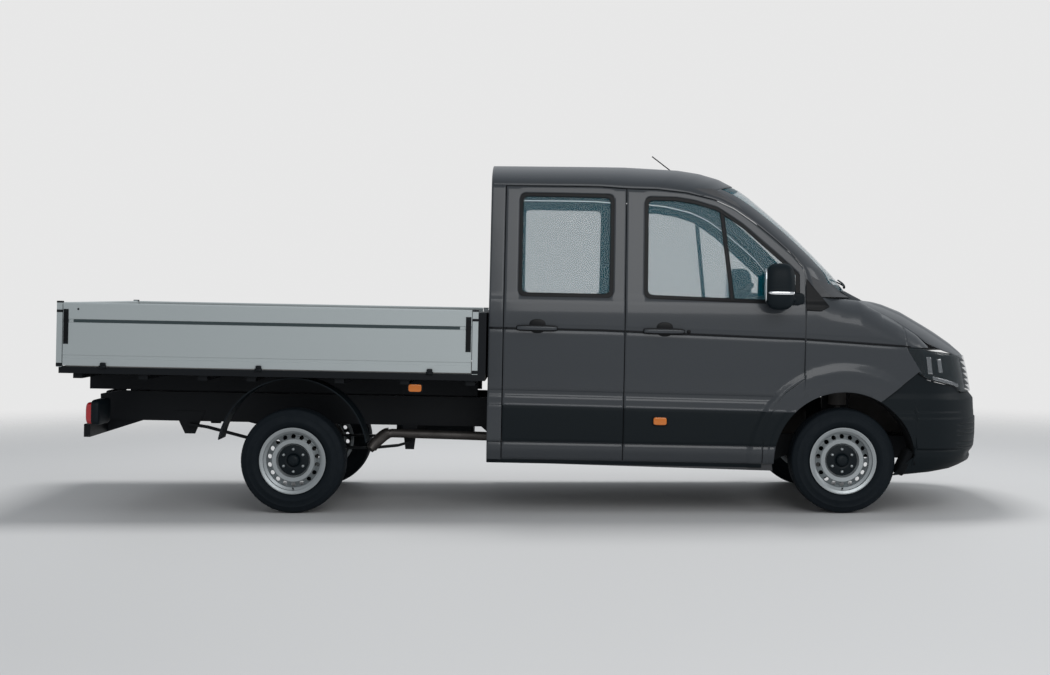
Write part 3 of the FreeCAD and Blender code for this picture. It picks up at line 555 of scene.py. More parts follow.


# Thin black strips laid along the rubbing groove, 1 mm under the plain surface: painted shade of the groove.
GROOVE_SHADE_STRIPS = (("rear_corner", -273, -184, "root"), ("rear", -174, 616, "rear_{}_door"),
                 ("front", 627, 1803, "front_{}_door"), ("wing", 1816, 2500, "root"))
for side, hand in SIDES:
    side_strip(f"{hand}_shut_strip", [(-181, 300), (-181, 430)], 12.0, 30.0, seal, "root", side)
    for place, start, end, body in GROOVE_SHADE_STRIPS:
        strip_x = np.linspace(start, end, 30)
        line = np.stack([strip_x, groove_height(strip_x)], -1)
        side_strip(f"{hand}_groove_shade_strip_{place}", line, 8.0, 1.0, seal, body.format(hand), side, thick=1.0)
    for door, xs, start, end, low, high in (
            ("rear", rear_columns, *REAR_OPENING, WINDOW_FOOT + 0 * rear_columns,
             WINDOW_HEAD + 0 * rear_columns),
            ("front", front_columns, *FRONT_OPENING, along(FRONT_FOOT, front_columns),
             along(FRONT_HEAD, front_columns))):
        inside = xs[(xs >= start - 9) & (xs <= end + 9)]
        panel_xs = xs
        xs = np.sort(np.concatenate([inside, [start - 4, start + SEAL, end - SEAL, end + 4]]))
        low = np.interp(xs, panel_xs, np.maximum(low, 1376.0))
        high = np.interp(xs, panel_xs, high)
        bite = corner(xs, start - 4, end + 4 if door == "rear" else 9000, WINDOW_CORNER)
        inner = corner(np.clip(xs, start + SEAL, None), start + SEAL,
                       end - SEAL if door == "rear" else 9000, WINDOW_CORNER - 10)
        foot, head = low + SEAL + inner, np.maximum(high - SEAL - inner, low + SEAL + inner)
        stack_panel(f"{door}_{hand}_window_seal", xs, [low - 4 + bite, foot, head, high + 4 - bite],
                    [4, 20, 4], pushed(side, 5.0), f"{door}_{hand}_door",
                    hole=(1, start + SEAL, end - SEAL), material=seal, thick=5.0)
        pane = stack_panel(f"{door}_{hand}_pane", xs, [low, high], [24], pushed(side, 11.0),
                           f"{door}_{hand}_door", material=glass, thick=4.0)
        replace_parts(pane, f"{door}_{hand}_door_glass")
    side_strip(f"front_{hand}_window_bar", (BAR_HEAD, BAR_FOOT), 30.0, 6.0, seal, f"front_{hand}_door", side,
               thick=8.0)

# ---------------------------------------------------------------- door handles
# A body-coloured grip over its cup, bolted through each door skin on the line of the groove; the cup's
# recess is drawn as a dark block on the skin, which is painted shade.


def rounded_block(name, centre, half, material, body, power=4.0, rows=18, columns_round=36, turn=None,
                  level=False):
    """A closed block with rounded edges: a superellipsoid |x/a|^p + |y/b|^p + |z/c|^p = 1, turned about its
    centre by (degrees, axis).  A level block isn't leant with the body."""
    def bulge(value):
        return np.sign(value) * np.abs(value) ** (2 / power)

    up = np.linspace(-math.pi / 2, math.pi / 2, rows)[:, None]
    round_ = np.linspace(0, 2 * math.pi, columns_round, endpoint=False)[None, :]
    flat = bulge(np.cos(up))
    points = np.stack([half[0] * flat * bulge(np.cos(round_)), half[1] * flat * bulge(np.sin(round_)),
                       half[2] * bulge(np.sin(up)) * np.ones_like(round_)], axis=-1).reshape(-1, 3)
    if turn:
        points = points @ np.array(Matrix.Rotation(math.radians(turn[0]), 3, turn[1])).T
    points = points + np.array(centre)
    points = points / 1000 if level else raked(points)
    piece = put_mesh(name, points, grid_faces(rows, columns_round, closed_columns=True), material, body)
    clean(piece)
    return piece


def blocks(*rows):
    """Rounded blocks on both sides: name, centre and half size on the left, material, body and power."""
    for name, (x, y, z), half, material, body, power in rows:
        for side, hand in SIDES:
            rounded_block(name.format(hand), (x, side * y, z), half, material, body.format(hand), power)


HANDLES = (("rear", 42, 1187, 45), ("front", 876, 1182, 882))
for door, x, z, cup_x in HANDLES:
    body = door + "_{}_door"
    y = side_y(float(x), float(z), False)
    # The cup is a dark block standing proud of the skin: painted shade of the handle recess.
    blocks((door + "_{}_handle_cup", (cup_x, y - 8, z + 10), (66, 11, 56), seal, body, 2.6),
           (door + "_{}_handle_base", (x, y + 1, z), (137, 5, 20), seal, body, 5),
           (door + "_{}_handle", (x, y + 26, z), (131, 11, 13), paint, body, 4),
           (door + "_{}_handle_foot_0", (x - 112, y + 12, z), (19, 18, 12), paint, body, 4),
           (door + "_{}_handle_foot_2", (x + 112, y + 12, z), (19, 18, 12), paint, body, 4))
lock_y = side_y(1040.0, 1182.0, False)
blocks(("front_{}_lock", (1040, lock_y + 1, 1182), (13, 4, 13), seal, "front_{}_door", 2.0))

# ---------------------------------------------------------------- side markers
# Amber lenses pressed into the cladding and under the bed's edge.
amber = new_material("amber_lens", "rear_lens", Base_Color=(0.62, 0.16, 0.006, 1), Roughness=0.18,
                     Coat_Weight=0.6)
relief(amber, texture(amber, "Wave", Scale=60.0).outputs["Fac"], 0.4, 0.001)
MARKER_Y = side_y(862.0, 591.0, False)
blocks(("{}_cab_marker_base", (862, MARKER_Y + 1, 591), (52, 6, 32), seal, "front_{}_door", 5),
       ("{}_cab_marker", (862, MARKER_Y + 6, 591), (43, 7, 25), amber, "front_{}_door", 5),
       ("{}_bed_marker_base", (-753, 996, 777), (52, 8, 33), seal, "root", 5),
       ("{}_bed_marker", (-753, 1004, 777), (43, 7, 25), amber, "root", 5))

# ---------------------------------------------------------------- front wings
# Bolted pressed wings: a flat side over the flared arch, rolled over at the top to the bonnet's seam
# line.  A narrow strip runs down behind the wheel under the door's heel.
SEAM_Y = 850.0
WING_TOP = ((1812, 1424), (2037, 1424), (2179, 1407), (2423, 1280), (2563, 1191), (2640, 1118))
ROLL_HEIGHT = 175.0
LAMP_BACK = ((2474, 1104), (2580, 935))
BUMPER_SEAM = ((2302, 738), (2326, 751), (2562, 946), (2584, 931), (2648, 892), (2862, 846), (2900, 806),
               (3100, 806))


def wing_surface(side):
    """The side surface with its top rolled inwards by a quarter of a superellipse to the bonnet seam."""
    def surface(x, z):
        top = along(WING_TOP, x)
        start = top - ROLL_HEIGHT
        base = side_y(x, z)
        reach = (side_y(x, start, False) - SEAM_Y) * step(x, 1880, 2120)
        share = np.clip((z - start) / ROLL_HEIGHT, 0, 1)
        shoulder = side_y(x, np.minimum(z, start), False) - side_y(x, z, False)
        y = base + shoulder * step(x, 1880, 2120) - reach * (1 - np.sqrt(1 - share ** 2.2))
        return np.stack([x, side * y, z], axis=-1)
    return surface


wing_columns = columns((1542, 0), (1616, 14), (1809, 20), (1812, 1), (2302, 50), (2474, 24), (2580, 20))
for side, hand in SIDES:
    low = np.where(wing_columns < 1617, DOOR_BOTTOM, arch_edge(wing_columns, ARCH_RADIUS))
    low = np.where(wing_columns > 2302, along(BUMPER_SEAM, wing_columns) + 2, low)
    top = np.where(wing_columns < 1811, along(DOOR_HEEL, wing_columns + GAP) - 2 * GAP,
                   along(WING_TOP, wing_columns))
    top = np.where(wing_columns > 2474, along(LAMP_BACK, wing_columns), top)
    top = np.maximum(top, low)
    bands = [np.minimum(np.maximum(band, low), top) for band in side_bands(wing_columns, low)]
    skin = stack_panel(f"{hand}_wing_skin", wing_columns, bands + [top], BAND_ROWS + [24],
                       wing_surface(side), "root", bands=CLAD_BANDS)
    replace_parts(skin, f"{hand}_front_wing")
    tip_columns = columns((2474, 0), (2640, 16))
    tip_foot = np.interp(tip_columns, (2474, 2640), (1107, 1104))
    stack_panel(f"{hand}_wing_tip", tip_columns, [tip_foot, along(WING_TOP, tip_columns)], [10],
                wing_surface(side), "root")

# ---------------------------------------------------------------- roof, pillars and windscreen
# One pressed crown from door gap to door gap.  Each station runs from a point of the centre line out
# to a point of the door gap; in between it is a superellipse, so roof, pillars and screen flow together.
CROWN = ((-275, 2303, -275), (300, 2309, 300), (627, 2311, 600), (1005, 2296, 820), (1157, 2274, 930),
         (1294, 2235, 1040), (1433, 2163, 1150), (1502, 2113, 1240), (1641, 1995, 1395), (1781, 1874, 1535),
         (1935, 1726, 1690), (2089, 1572, 1792), (2150, 1508, 1811), (2196, 1462, 1811))
FOOT_HEIGHTS = ((2089, 1619), (2150, 1500), (2196, 1430))


def crown_point(station, across):
    """A point of the crown: station is the centre line's x, across runs from -1 to 1 over the truck."""
    middles, heights, ends = zip(*CROWN)
    from_x = np.interp(station, middles, ends)
    side_z = along(DOOR_TOP, from_x) + GAP
    side_z = np.where(station > 2089, along(FOOT_HEIGHTS, station), side_z)
    side_half = side_y(from_x, side_z, False)
    share = np.abs(across)
    x = from_x + (station - from_x) * (1 - share ** 2.8) ** (1 / 1.7)
    z = side_z + (np.interp(station, middles, heights) - side_z) * (1 - share ** 2.6) ** 0.5
    return np.stack([x, side_half * across, z], axis=-1)


def crown_panel(name, stations, spread, material, lift=0.0, thick=2.5):
    """A part of the crown between two lines across it, lifted along z."""
    s, a = np.meshgrid(stations, spread, indexing="ij")
    points = crown_point(s, a)
    points[..., 2] += lift
    piece = put_mesh(name, raked(points.reshape(-1, 3)), grid_faces(len(stations), len(spread)), material,
                     "root")
    finish_skin(piece, thick)
    return piece


SCREEN_EDGE = 0.875
SCREEN_TOP = 1392.0
full_spread = np.sin(np.linspace(-1, 1, 91) * math.pi / 2)
headlining = plastic("headlining", (0.016, 0.018, 0.020), 0.85, 0.5, "seat_fabric")
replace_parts(crown_panel("roof_skin", np.linspace(-275, SCREEN_TOP, 90), full_spread, paint), "roof")
crown_panel("headliner", np.linspace(-262, SCREEN_TOP - 6, 40), np.linspace(-0.94, 0.94, 41), headlining,
            lift=-34.0, thick=3.0)
for side, hand in SIDES:
    spread = side * np.linspace(1, SCREEN_EDGE, 24)
    crown_panel(f"{hand}_pillar_skin", np.linspace(SCREEN_TOP, 2196, 60), spread, paint)

screen = crown_panel("windscreen_pane", np.linspace(SCREEN_TOP + 4, 2190, 50),
                     np.linspace(-SCREEN_EDGE + 0.004, SCREEN_EDGE - 0.004, 61), glass, lift=-3.0, thick=5.0)
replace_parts(screen, "cab_glass")
frit = plastic("glass_border", (0.004, 0.005, 0.006), 0.25, 0.0)
for name, stations, spread in (
        ("screen_border_top", (SCREEN_TOP + 2, SCREEN_TOP + 42), (-SCREEN_EDGE, SCREEN_EDGE)),
        ("screen_border_foot", (2140, 2192), (-SCREEN_EDGE, SCREEN_EDGE)),
        ("screen_border_left", (SCREEN_TOP + 2, 2192), (SCREEN_EDGE - 0.035, SCREEN_EDGE)),
        ("screen_border_right", (SCREEN_TOP + 2, 2192), (-SCREEN_EDGE, -SCREEN_EDGE + 0.035))):
    crown_panel(name, np.linspace(*stations, 40), np.linspace(*spread, 40), frit, lift=-8.5, thick=0.6)

# ---------------------------------------------------------------- back wall
# A pressed steel wall behind the rear seats with one fixed window in a rubber strip.
BACK_WINDOW = (560.0, 1450.0, 1980.0)
WALL_FOOT = 700.0


def wall_panel(name, spread, low, high):
    """Part of the back wall between two heights; across runs from -1 to 1, so it meets the side skins."""
    v = np.linspace(0, 1, 24)
    across, share = np.meshgrid(spread, v)
    roof_line = crown_point(np.full_like(across, -275.0), across)[..., 2]
    top = np.where(high > 2200, roof_line, high)
    z = low + (top - low) * share
    y = across * side_y(BACK_X, np.minimum(z, 2130), False)
    y = np.where(z > 2130, across * side_y(BACK_X, 2130.0, False), y)
    ribs = 6.0 * step(np.abs(np.sin(y / 150.0 * math.pi)), 0.35, 0.75) * (z > 760) * (z < 1400)
    x = np.full_like(y, BACK_X) - 1.0 + ribs * (np.abs(y) < 850)
    piece = put_mesh(name, raked(np.stack([x, y, z], -1).reshape(-1, 3)), grid_faces(*y.shape), paint,
                     "root")
    finish_skin(piece, 2.5)
    return piece


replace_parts(wall_panel("back_wall_lower", np.linspace(-1, 1, 40), WALL_FOOT, BACK_WINDOW[1]),
            "cab_back_wall")
wall_panel("back_wall_upper", full_spread, BACK_WINDOW[2], 2400.0)
for side, hand in SIDES:
    wall_panel(f"back_wall_{hand}", np.linspace(side * 0.58, side, 12), BACK_WINDOW[1], BACK_WINDOW[2])
    wall_panel(f"back_wall_foot_{hand}", np.linspace(side * 0.885, side, 6), 297.0, WALL_FOOT)


def profile_bar(name, section, start, end, material, body, along_axis="x"):
    """An extrusion: a closed section of (across, height) corners run from start to end, capped."""
    count = len(section)
    section = np.array(section, dtype=float)
    ends = []
    for place in (start, end):
        run = np.full(count, float(place))
        pair = (run, section[:, 0]) if along_axis == "x" else (section[:, 0], run)
        ends.append(np.stack([*pair, section[:, 1]], axis=-1))
    sides = [(a, (a + 1) % count, count + (a + 1) % count, count + a) for a in range(count)]
    caps = [tuple(range(count)), tuple(range(count, 2 * count))]
    piece = put_mesh(name, raked(np.concatenate(ends)), sides + caps, material, body, smooth=False)
    clean(piece)
    edge = piece.modifiers.new("edge", "BEVEL")
    edge.width = 0.0012
    edge.segments = 2
    edge.limit_method = "ANGLE"
    edge.angle_limit = math.radians(40)
    return piece


def flat(low, high, across_low, across_high):
    """A rectangular section."""
    return [(across_low, low), (across_high, low), (across_high, high), (across_low, high)]


half_y, low_z, high_z = BACK_WINDOW
grid_y, grid_z = np.meshgrid(np.linspace(-half_y, half_y, 24), np.linspace(low_z, high_z, 12))
pane_points = np.stack([np.full_like(grid_y, BACK_X + 8), grid_y, grid_z], -1).reshape(-1, 3)
finish_skin(put_mesh("back_pane", raked(pane_points), grid_faces(12, 24), glass, "root"), 4.0)
STRIP = 14.0
strip_x = (BACK_X - 5, BACK_X + 6)
for z in (low_z, high_z):
    profile_bar(f"back_seal_{int(z)}", flat(z - STRIP, z + STRIP, *strip_x), -half_y - STRIP, half_y + STRIP,
                dark_rubber, "root", "y")
for side, hand in SIDES:
    profile_bar(f"back_seal_side_{side}", flat(low_z - STRIP, high_z + STRIP, *strip_x),
                side * half_y - STRIP, side * half_y + STRIP, dark_rubber, "root", "y")

# ---------------------------------------------------------------- bonnet
# One pressed lid from the scuttle to the grille: it bows back towards its sides, falls away from a
# raised middle, and its front edge turns down over the lamps.
LID_LINE = ((2296, 1423, 12), (2448, 1391, 60), (2576, 1345, 84), (2731, 1258, 88), (2811, 1213, 105),
            (2912, 1143, 90), (2975, 1085, 60), (2994, 1062, 50))


def lid_point(station, y, lift=0.0):
    """A point of the bonnet: station is the centre line's x and y the distance from the middle."""
    xs, zs, falls = zip(*LID_LINE)
    u = np.abs(y) / 1000
    bend = np.interp(station, (2290, 2994), (140, 248))
    x = station - 115 * u ** 2 - bend * u ** 6
    raised = 9.0 * step(np.abs(y), 600 + 0 * y, 540 + 0 * y) * step(station, 2296, 2400)
    z = np.interp(station, xs, zs) - np.interp(station, xs, falls) * u ** 2 + raised - 9.0 + lift
    return np.stack([x, y, z], axis=-1)


stations = np.linspace(2296, 2994, 60)
half = np.interp(stations, (2296, 2800, 2900, 2994), (SEAM_Y - 3, SEAM_Y - 3, 800, 700))
spread = np.linspace(-1, 1, 81)
points = lid_point(stations[:, None] * np.ones(81), half[:, None] * spread)
bonnet_lid = put_mesh("bonnet_skin", raked(points.reshape(-1, 3)), grid_faces(60, 81), paint, "bonnet")
finish_skin(bonnet_lid, 4.0)
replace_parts(bonnet_lid, "bonnet")

# ---------------------------------------------------------------- nose: bumper, grille and lamps
# Below the bonnet everything follows one nose: at each height a superellipse in plan from side to side.
REACH = ((258, 300), (280, 560), (300, 658), (345, 745), (374, 768), (400, 778), (527, 787), (639, 786),
         (700, 782), (762, 778), (810, 752), (940, 725), (1062, 692), (1104, 640), (1208, 522), (1355, 253))


def nose_point(angle, z, push=0.0):
    """A point of the nose at a height: angle 0 is the middle and a right angle is where the side begins."""
    heights, widths = zip(*SECTION)
    width = np.interp(z, heights, widths) + push
    reach = along(REACH, z) + push
    across = np.sign(angle) * np.abs(np.sin(angle)) ** (2 / SIDE_POWER)
    ahead = np.abs(np.cos(angle)) ** (2 / NOSE_POWER)
    return np.stack([NOSE_START + reach * ahead, width * across, z], axis=-1)


def angle_at(x):
    """The nose angle whose point lies at x on a nose of the usual length."""
    share = np.clip((x - NOSE_START) / NOSE_LENGTH, 0, 1)
    return np.arccos(share ** (NOSE_POWER / 2))


def nose_panel(name, angles, low, high, rows, material, body="root", push=None, thick=3.0):
    """A skin of the nose between two height curves over the angles; push(angle, z) moves it outwards."""
    v = np.linspace(0, 1, rows)[:, None]
    z = low + (high - low) * v
    a = np.broadcast_to(angles, z.shape)
    offset = push(a, z) if push else 0.0
    points = nose_point(a, z, offset)
    quads = grid_faces(*z.shape)
    tall = z.reshape(-1)[quads]
    quads = quads[(tall.max(axis=1) - tall.min(axis=1)) > 0.02]
    piece = put_mesh(name, raked(points.reshape(-1, 3)), quads, material, body)
    finish_skin(piece, thick)
    return piece


SLOTS_Z = (598, 560, 532, 480, 448)
BUMPER_FOOT = ((2300, 262), (2600, 258), (2753, 270), (2905, 300), (3032, 345), (3080, 358))


def bumper_push(angle, z):
    """Upper half set back a little above its crease, short slots at the corners, a lip at the foot."""
    x = NOSE_START + NOSE_LENGTH * np.abs(np.cos(angle)) ** (2 / NOSE_POWER)
    push = -7.0 * step(z, 636, 644) - 10.0 * step(z, 760, 806)
    corner_zone = step(x, 2830, 2860) * (1 - step(x, 3020, 3035))
    for height in SLOTS_Z:
        push = push - 6.0 * np.exp(-((z - height) / 5.0) ** 2) * corner_zone
    push = push - 22.0 * np.exp(-((z - 395) / 26.0) ** 2) * step(x, 2900, 2990)
    return push


side_angles = angle_at(np.concatenate([np.linspace(2302, 2545, 40), np.linspace(2548, 2800, 24)[1:]]))
front_angles = np.linspace(side_angles[-1], 0, 50)[1:]
half_angles = np.concatenate([side_angles, front_angles])
bumper_angles = np.concatenate([half_angles, -half_angles[-2::-1]])
bumper_x = NOSE_START + NOSE_LENGTH * np.abs(np.cos(bumper_angles)) ** (2 / NOSE_POWER)
bumper_low = np.where(bumper_x < 2546, arch_edge(bumper_x, ARCH_RADIUS), along(BUMPER_FOOT, bumper_x))
bumper_high = along(BUMPER_SEAM, bumper_x)
bumper_low = np.minimum(bumper_low, bumper_high - 0.001)
bumper = nose_panel("bumper_skin", bumper_angles, bumper_low, bumper_high, 150, cladding,
                    push=bumper_push, thick=4.0)
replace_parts(bumper, "front_bumper")

SLATS = 6
GRILLE_FOOT = 812.0
GRILLE_TALL = 234.0
GRILLE_HALF, LAMP_INNER, NOSE_HALF = 575, 590, 1012


def slat_push(angle, z):
    """Six slats, each a wedge: proud at its lower edge and set back at its upper edge."""
    share = (z - GRILLE_FOOT) / GRILLE_TALL * SLATS
    wedge = share - np.floor(np.clip(share, 0, SLATS - 0.001))
    return -4.0 - 26.0 * np.clip(wedge, 0, 1) ** 1.5


grille_angles = np.linspace(-1, 1, 61) * math.asin((GRILLE_HALF / NOSE_HALF) ** (SIDE_POWER / 2))
grille_rows = np.full(61, GRILLE_FOOT)
grille = nose_panel("grille_slats", grille_angles, grille_rows, grille_rows + GRILLE_TALL, 169,
                    black_plastic, push=slat_push, thick=2.0)
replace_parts(grille, "grille")


def set_back(depth):
    """A push that moves a nose panel inwards by a depth."""
    return lambda angle, z: np.full_like(z, -float(depth))


LAMP_TOP = ((2474, 1104), (2640, 1100), (2794, 1073), (2900, 1060), (3100, 1048))
LAMP_FOOT = ((2474, 1104), (2580, 937), (2648, 897), (2862, 850), (2900, 812), (3100, 812))
lens = new_material("clear_lens", "lamp_lens", Base_Color=(0.02, 0.03, 0.035, 1), Roughness=0.03,
                    Alpha=0.3, Coat_Weight=0.4)
chrome = new_material("lamp_reflector", "lamp_lens", Base_Color=(0.85, 0.86, 0.88, 1), Metallic=1.0,
                      Roughness=0.16)
LAMP_BARS = ((2655, 2690), (2740, 2772))
MASK_END = 2634
bezel = plastic("lamp_bezel", (0.008, 0.011, 0.013), 0.28, 0.1)
inner_edge = math.asin((LAMP_INNER / NOSE_HALF) ** (SIDE_POWER / 2))
lamp_half = np.concatenate([angle_at(np.linspace(2474, 2860, 50)),
                            np.linspace(angle_at(np.array(2860.0)), inner_edge, 30)[1:]])
lamp_x = NOSE_START + NOSE_LENGTH * np.abs(np.cos(lamp_half)) ** (2 / NOSE_POWER)
for side, hand in SIDES:
    foot = along(LAMP_FOOT, lamp_x)
    head = np.maximum(along(LAMP_TOP, lamp_x), foot + 0.001)
    nose_panel(f"{hand}_lamp_lens", side * lamp_half, foot, head, 30, lens, push=set_back(2), thick=2.0)
    nose_panel(f"{hand}_lamp_bowl", side * lamp_half, foot, head, 30, bezel, push=set_back(34), thick=2.0)
    behind = lamp_x <= MASK_END
    mask_foot = foot[behind] + 3
    nose_panel(f"{hand}_lamp_mask", side * lamp_half[behind], mask_foot,
               np.maximum(head[behind] - 3, mask_foot + 1), 12, seal, push=set_back(7), thick=2.0)
    for index, (start, end) in enumerate(LAMP_BARS):
        bar_angles = angle_at(np.linspace(start, end, 8))
        bar_foot = np.full(8, 932.0 + 10 * index)
        nose_panel(f"{hand}_lamp_bar_{index}", side * bar_angles, bar_foot, bar_foot + 112 - 22 * index, 12,
                   chrome, push=set_back(12), thick=8.0)
    strip_x = np.linspace(2690, 2900, 30)
    strip_foot = np.maximum(along(LAMP_FOOT, strip_x) + 8, 846.0)
    nose_panel(f"{hand}_lamp_strip", side * angle_at(strip_x), strip_foot, strip_foot + 22, 6, chrome,
               push=set_back(14), thick=4.0)
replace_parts(bpy.data.objects["left_lamp_bowl"], "headlamps")

# ---------------------------------------------------------------- scuttle, aerial and wipers
# A black moulded scuttle under the windscreen, a rod aerial, and two pressed arms parked low on the
# screen, each with a rubber blade.
finish_nodes(black_plastic, "scuttle", "aerial")


def bent_tube(name, path, radius, material, body, sides=12, level=False):
    """A round rod along a path of points; the radius is a number or one for each point."""
    path = np.array(path, dtype=float)
    radius = np.broadcast_to(np.asarray(radius, dtype=float), len(path))
    ahead = np.gradient(path, axis=0)
    ahead /= np.linalg.norm(ahead, axis=1)[:, None]
    guide = np.array((0.0, 1.0, 0.0)) if abs(ahead[:, 1]).max() < 0.8 else np.array((0.31, 0.12, 0.94))
    across = np.cross(ahead, guide)
    across /= np.linalg.norm(across, axis=1)[:, None]
    third = np.cross(ahead, across)
    turn = np.linspace(0, 2 * math.pi, sides, endpoint=False)
    ring = across[:, None] * np.cos(turn)[None, :, None] + third[:, None] * np.sin(turn)[None, :, None]
    points = (path[:, None] + ring * radius[:, None, None]).reshape(-1, 3)
    count = len(path)
    faces = [tuple(f) for f in grid_faces(count, sides, closed_columns=True)]
    faces += [tuple(range(sides)), tuple(range((count - 1) * sides, count * sides))]
    piece = put_mesh(name, points / 1000 if level else raked(points), faces, material, body)
    clean(piece)
    return piece


WIPERS = (("right", -0.62, -0.02), ("left", 0.06, 0.66))
for hand, start, end in WIPERS:
    spread = np.linspace(start, end, 24)
    line = crown_point(np.interp(spread, (start, end), (2178, 2120)), spread)
    line[:, 2] += 14
    line[:, 0] += 8
    bent_tube(f"{hand}_wiper_blade", line, 5.0, dark_rubber, "root", 8)
    arm = line[:15].copy()
    arm[:, 2] += np.linspace(4, 18, 15)
    bent_tube(f"{hand}_wiper_arm", arm, np.linspace(9, 5, 15), black_plastic, "root", 8)

# ---------------------------------------------------------------- mirrors
# A black housing on a short arm at the door's front corner, with a repeater in the lamp reflectors' chrome
# and a pane of silvered glass that faces backwards; a black cover fills the corner of the pillar ahead of it.
silvered = new_material("silvered_glass", "glass", Base_Color=(0.75, 0.78, 0.8, 1), Metallic=1.0,
                        Roughness=0.03)
MIRROR_ARM = ((1668, 1080, 1398), (1690, 1040, 1404), (1715, 1005, 1408), (1745, 985, 1408))
blocks(("{}_repeater", (1618, 1216, 1447), (84, 22, 13), chrome, "front_{}_door", 3.4),
       ("{}_mirror_foot", (1738, 1004, 1412), (62, 14, 40), black_plastic, "front_{}_door", 3.5))
for side, hand in SIDES:
    body = f"front_{hand}_door"
    case = rounded_block(f"{hand}_mirror_case", (1614, side * 1150, 1489), (98, 84, 152), black_plastic, body,
                         power=3.1, rows=30, columns_round=48, turn=(side * 4, "Z"))
    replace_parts(case, f"{hand}_mirror")
    rounded_block(f"{hand}_mirror_glass", (1524, side * 1150, 1497), (8, 56, 112), silvered, body,
                  power=3.4, turn=(side * 4, "Z"))
    bent_tube(f"{hand}_mirror_arm", np.array(MIRROR_ARM) * (1, side, 1), (27, 26, 27, 30), black_plastic,
              body, 16)
    sail_columns = np.linspace(1811, 1962, 40)
    sail_foot = np.interp(sail_columns, (1811, 1908, 1962), (1334, 1331, 1362))
    sail_head = np.interp(sail_columns, (1811, 1962), (1548, 1368))
    cover = stack_panel(f"{hand}_pillar_cover", sail_columns, [sail_foot, sail_head], [16], on_side(side),
                        "root", material=seal, thick=6.0)
    cover.modifiers["wall"].offset = 0.6

# ---------------------------------------------------------------- tyres
# Radial van tyres: a tread of five ribs cut by sipes, square shoulders and plain side walls with a
# raised guard ring next to the rim.
tyre_rubber = new_material("tyre_rubber", "tyre", Base_Color=(0.0035, 0.0070, 0.0105, 1),
                           Specular_IOR_Level=0.2)
gloss(tyre_rubber, texture(tyre_rubber, Scale=22.0, Detail=5.0).outputs["Fac"], 0.62, 0.86)
WHEELS = (("front_left", 2082, 1), ("front_right", 2082, -1), ("rear_left", -1558, 1),
          ("rear_right", -1558, -1))
AXLE_Z = 346.0
TRACK_HALF = 855.0
TYRE_SIDE = ((206, 82), (214, 86), (226, 92), (238, 104), (246, 111), (252, 113), (258, 118), (266, 118),
             (272, 114.5), (290, 114), (300, 112.5), (302, 113.5), (306, 113), (308, 111), (322, 106),
             (334, 100), (340, 94), (342.5, 88))
TREAD_GROOVES = (-58, -20, 20, 58)
SIPES = 78


def turned(name, profile, place, side, material, body, steps=72, shape=None, closed=False):
    """A profile of (radius, out) points turned about an axle at place; shape may move the radii."""
    profile = np.array(profile, dtype=float)
    angle = np.linspace(0, 2 * math.pi, steps, endpoint=False)
    radius = np.broadcast_to(profile[:, 0][:, None], (len(profile), steps))
    out = np.broadcast_to(profile[:, 1][:, None], (len(profile), steps))
    if shape:
        radius = shape(radius, out, angle[None, :])
    x, y, z = place
    points = np.stack([x + radius * np.sin(angle), y + side * out, z + radius * np.cos(angle)], -1) / 1000
    piece = put_mesh(name, points.reshape(-1, 3), grid_faces(len(profile), steps, closed_rows=closed,
                                                             closed_columns=True), material, body)
    clean(piece)
    return piece


def tread(radius, out, angle):
    """Rib grooves and slanted sipes cut into the tread between the shoulders."""
    deep = sum(np.exp(-((out - groove) / 4.2) ** 4) for groove in TREAD_GROOVES)
    sipe = step(np.sin(SIPES * angle + out * 0.12), 0.72, 0.95) * (np.abs(out) > 22) * (np.abs(out) < 90)
    on_tread = (radius > 341).astype(float)
    return radius - on_tread * np.maximum(7.0 * deep, 4.5 * sipe)


tread_out = np.linspace(84, -84, 61)
tread_line = [(346.0 - 2.6 * (out / 84) ** 4, out) for out in tread_out]
tyre_line = list(TYRE_SIDE) + tread_line + [(radius, -out) for radius, out in reversed(TYRE_SIDE)]
for corner_name, x, side in WHEELS:
    body = f"{corner_name}_wheel"
    tyre = turned(f"{corner_name}_tread", tyre_line, (x, side * TRACK_HALF, AXLE_Z), side, tyre_rubber, body,
                  steps=234, shape=tread)
    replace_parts(tyre, f"{corner_name}_tyre")

# ---------------------------------------------------------------- rims
# Pressed steel rims in silver paint with a ring of vent holes; a black disc carries six nuts round a
# plain hub cap, and a rubber valve stands in the lower half.
rim_paint = new_material("rim_paint", "rim_steel", Base_Color=(0.34, 0.365, 0.375, 1), Metallic=0.8)
gloss(rim_paint, texture(rim_paint, Scale=60.0).outputs["Fac"], 0.3, 0.45)
hub_black = plastic("hub_black", (0.005, 0.009, 0.012), 0.42, 0.2, "rim_steel")
HUB_DISC = ((36, 34), (36, 51), (60, 50), (84, 47), (100, 44), (106, 44), (106, 34))
HUB_CAP = ((0.1, 74), (18, 73), (30, 70), (36, 65), (38, 58), (38, 44), (44, 42))
RIM_RING = ((108, 40), (109, 49), (114, 55), (124, 58.5), (136, 58), (145, 54), (147, 47), (146, 40))
NUT = ((0.1, 66), (6, 66), (9, 64), (11, 58), (11, 46), (14, 45))
NUTS = 6
NUT_CIRCLE = 74.0
VALVE = ((188, 56), (184, 70), (180, 84))
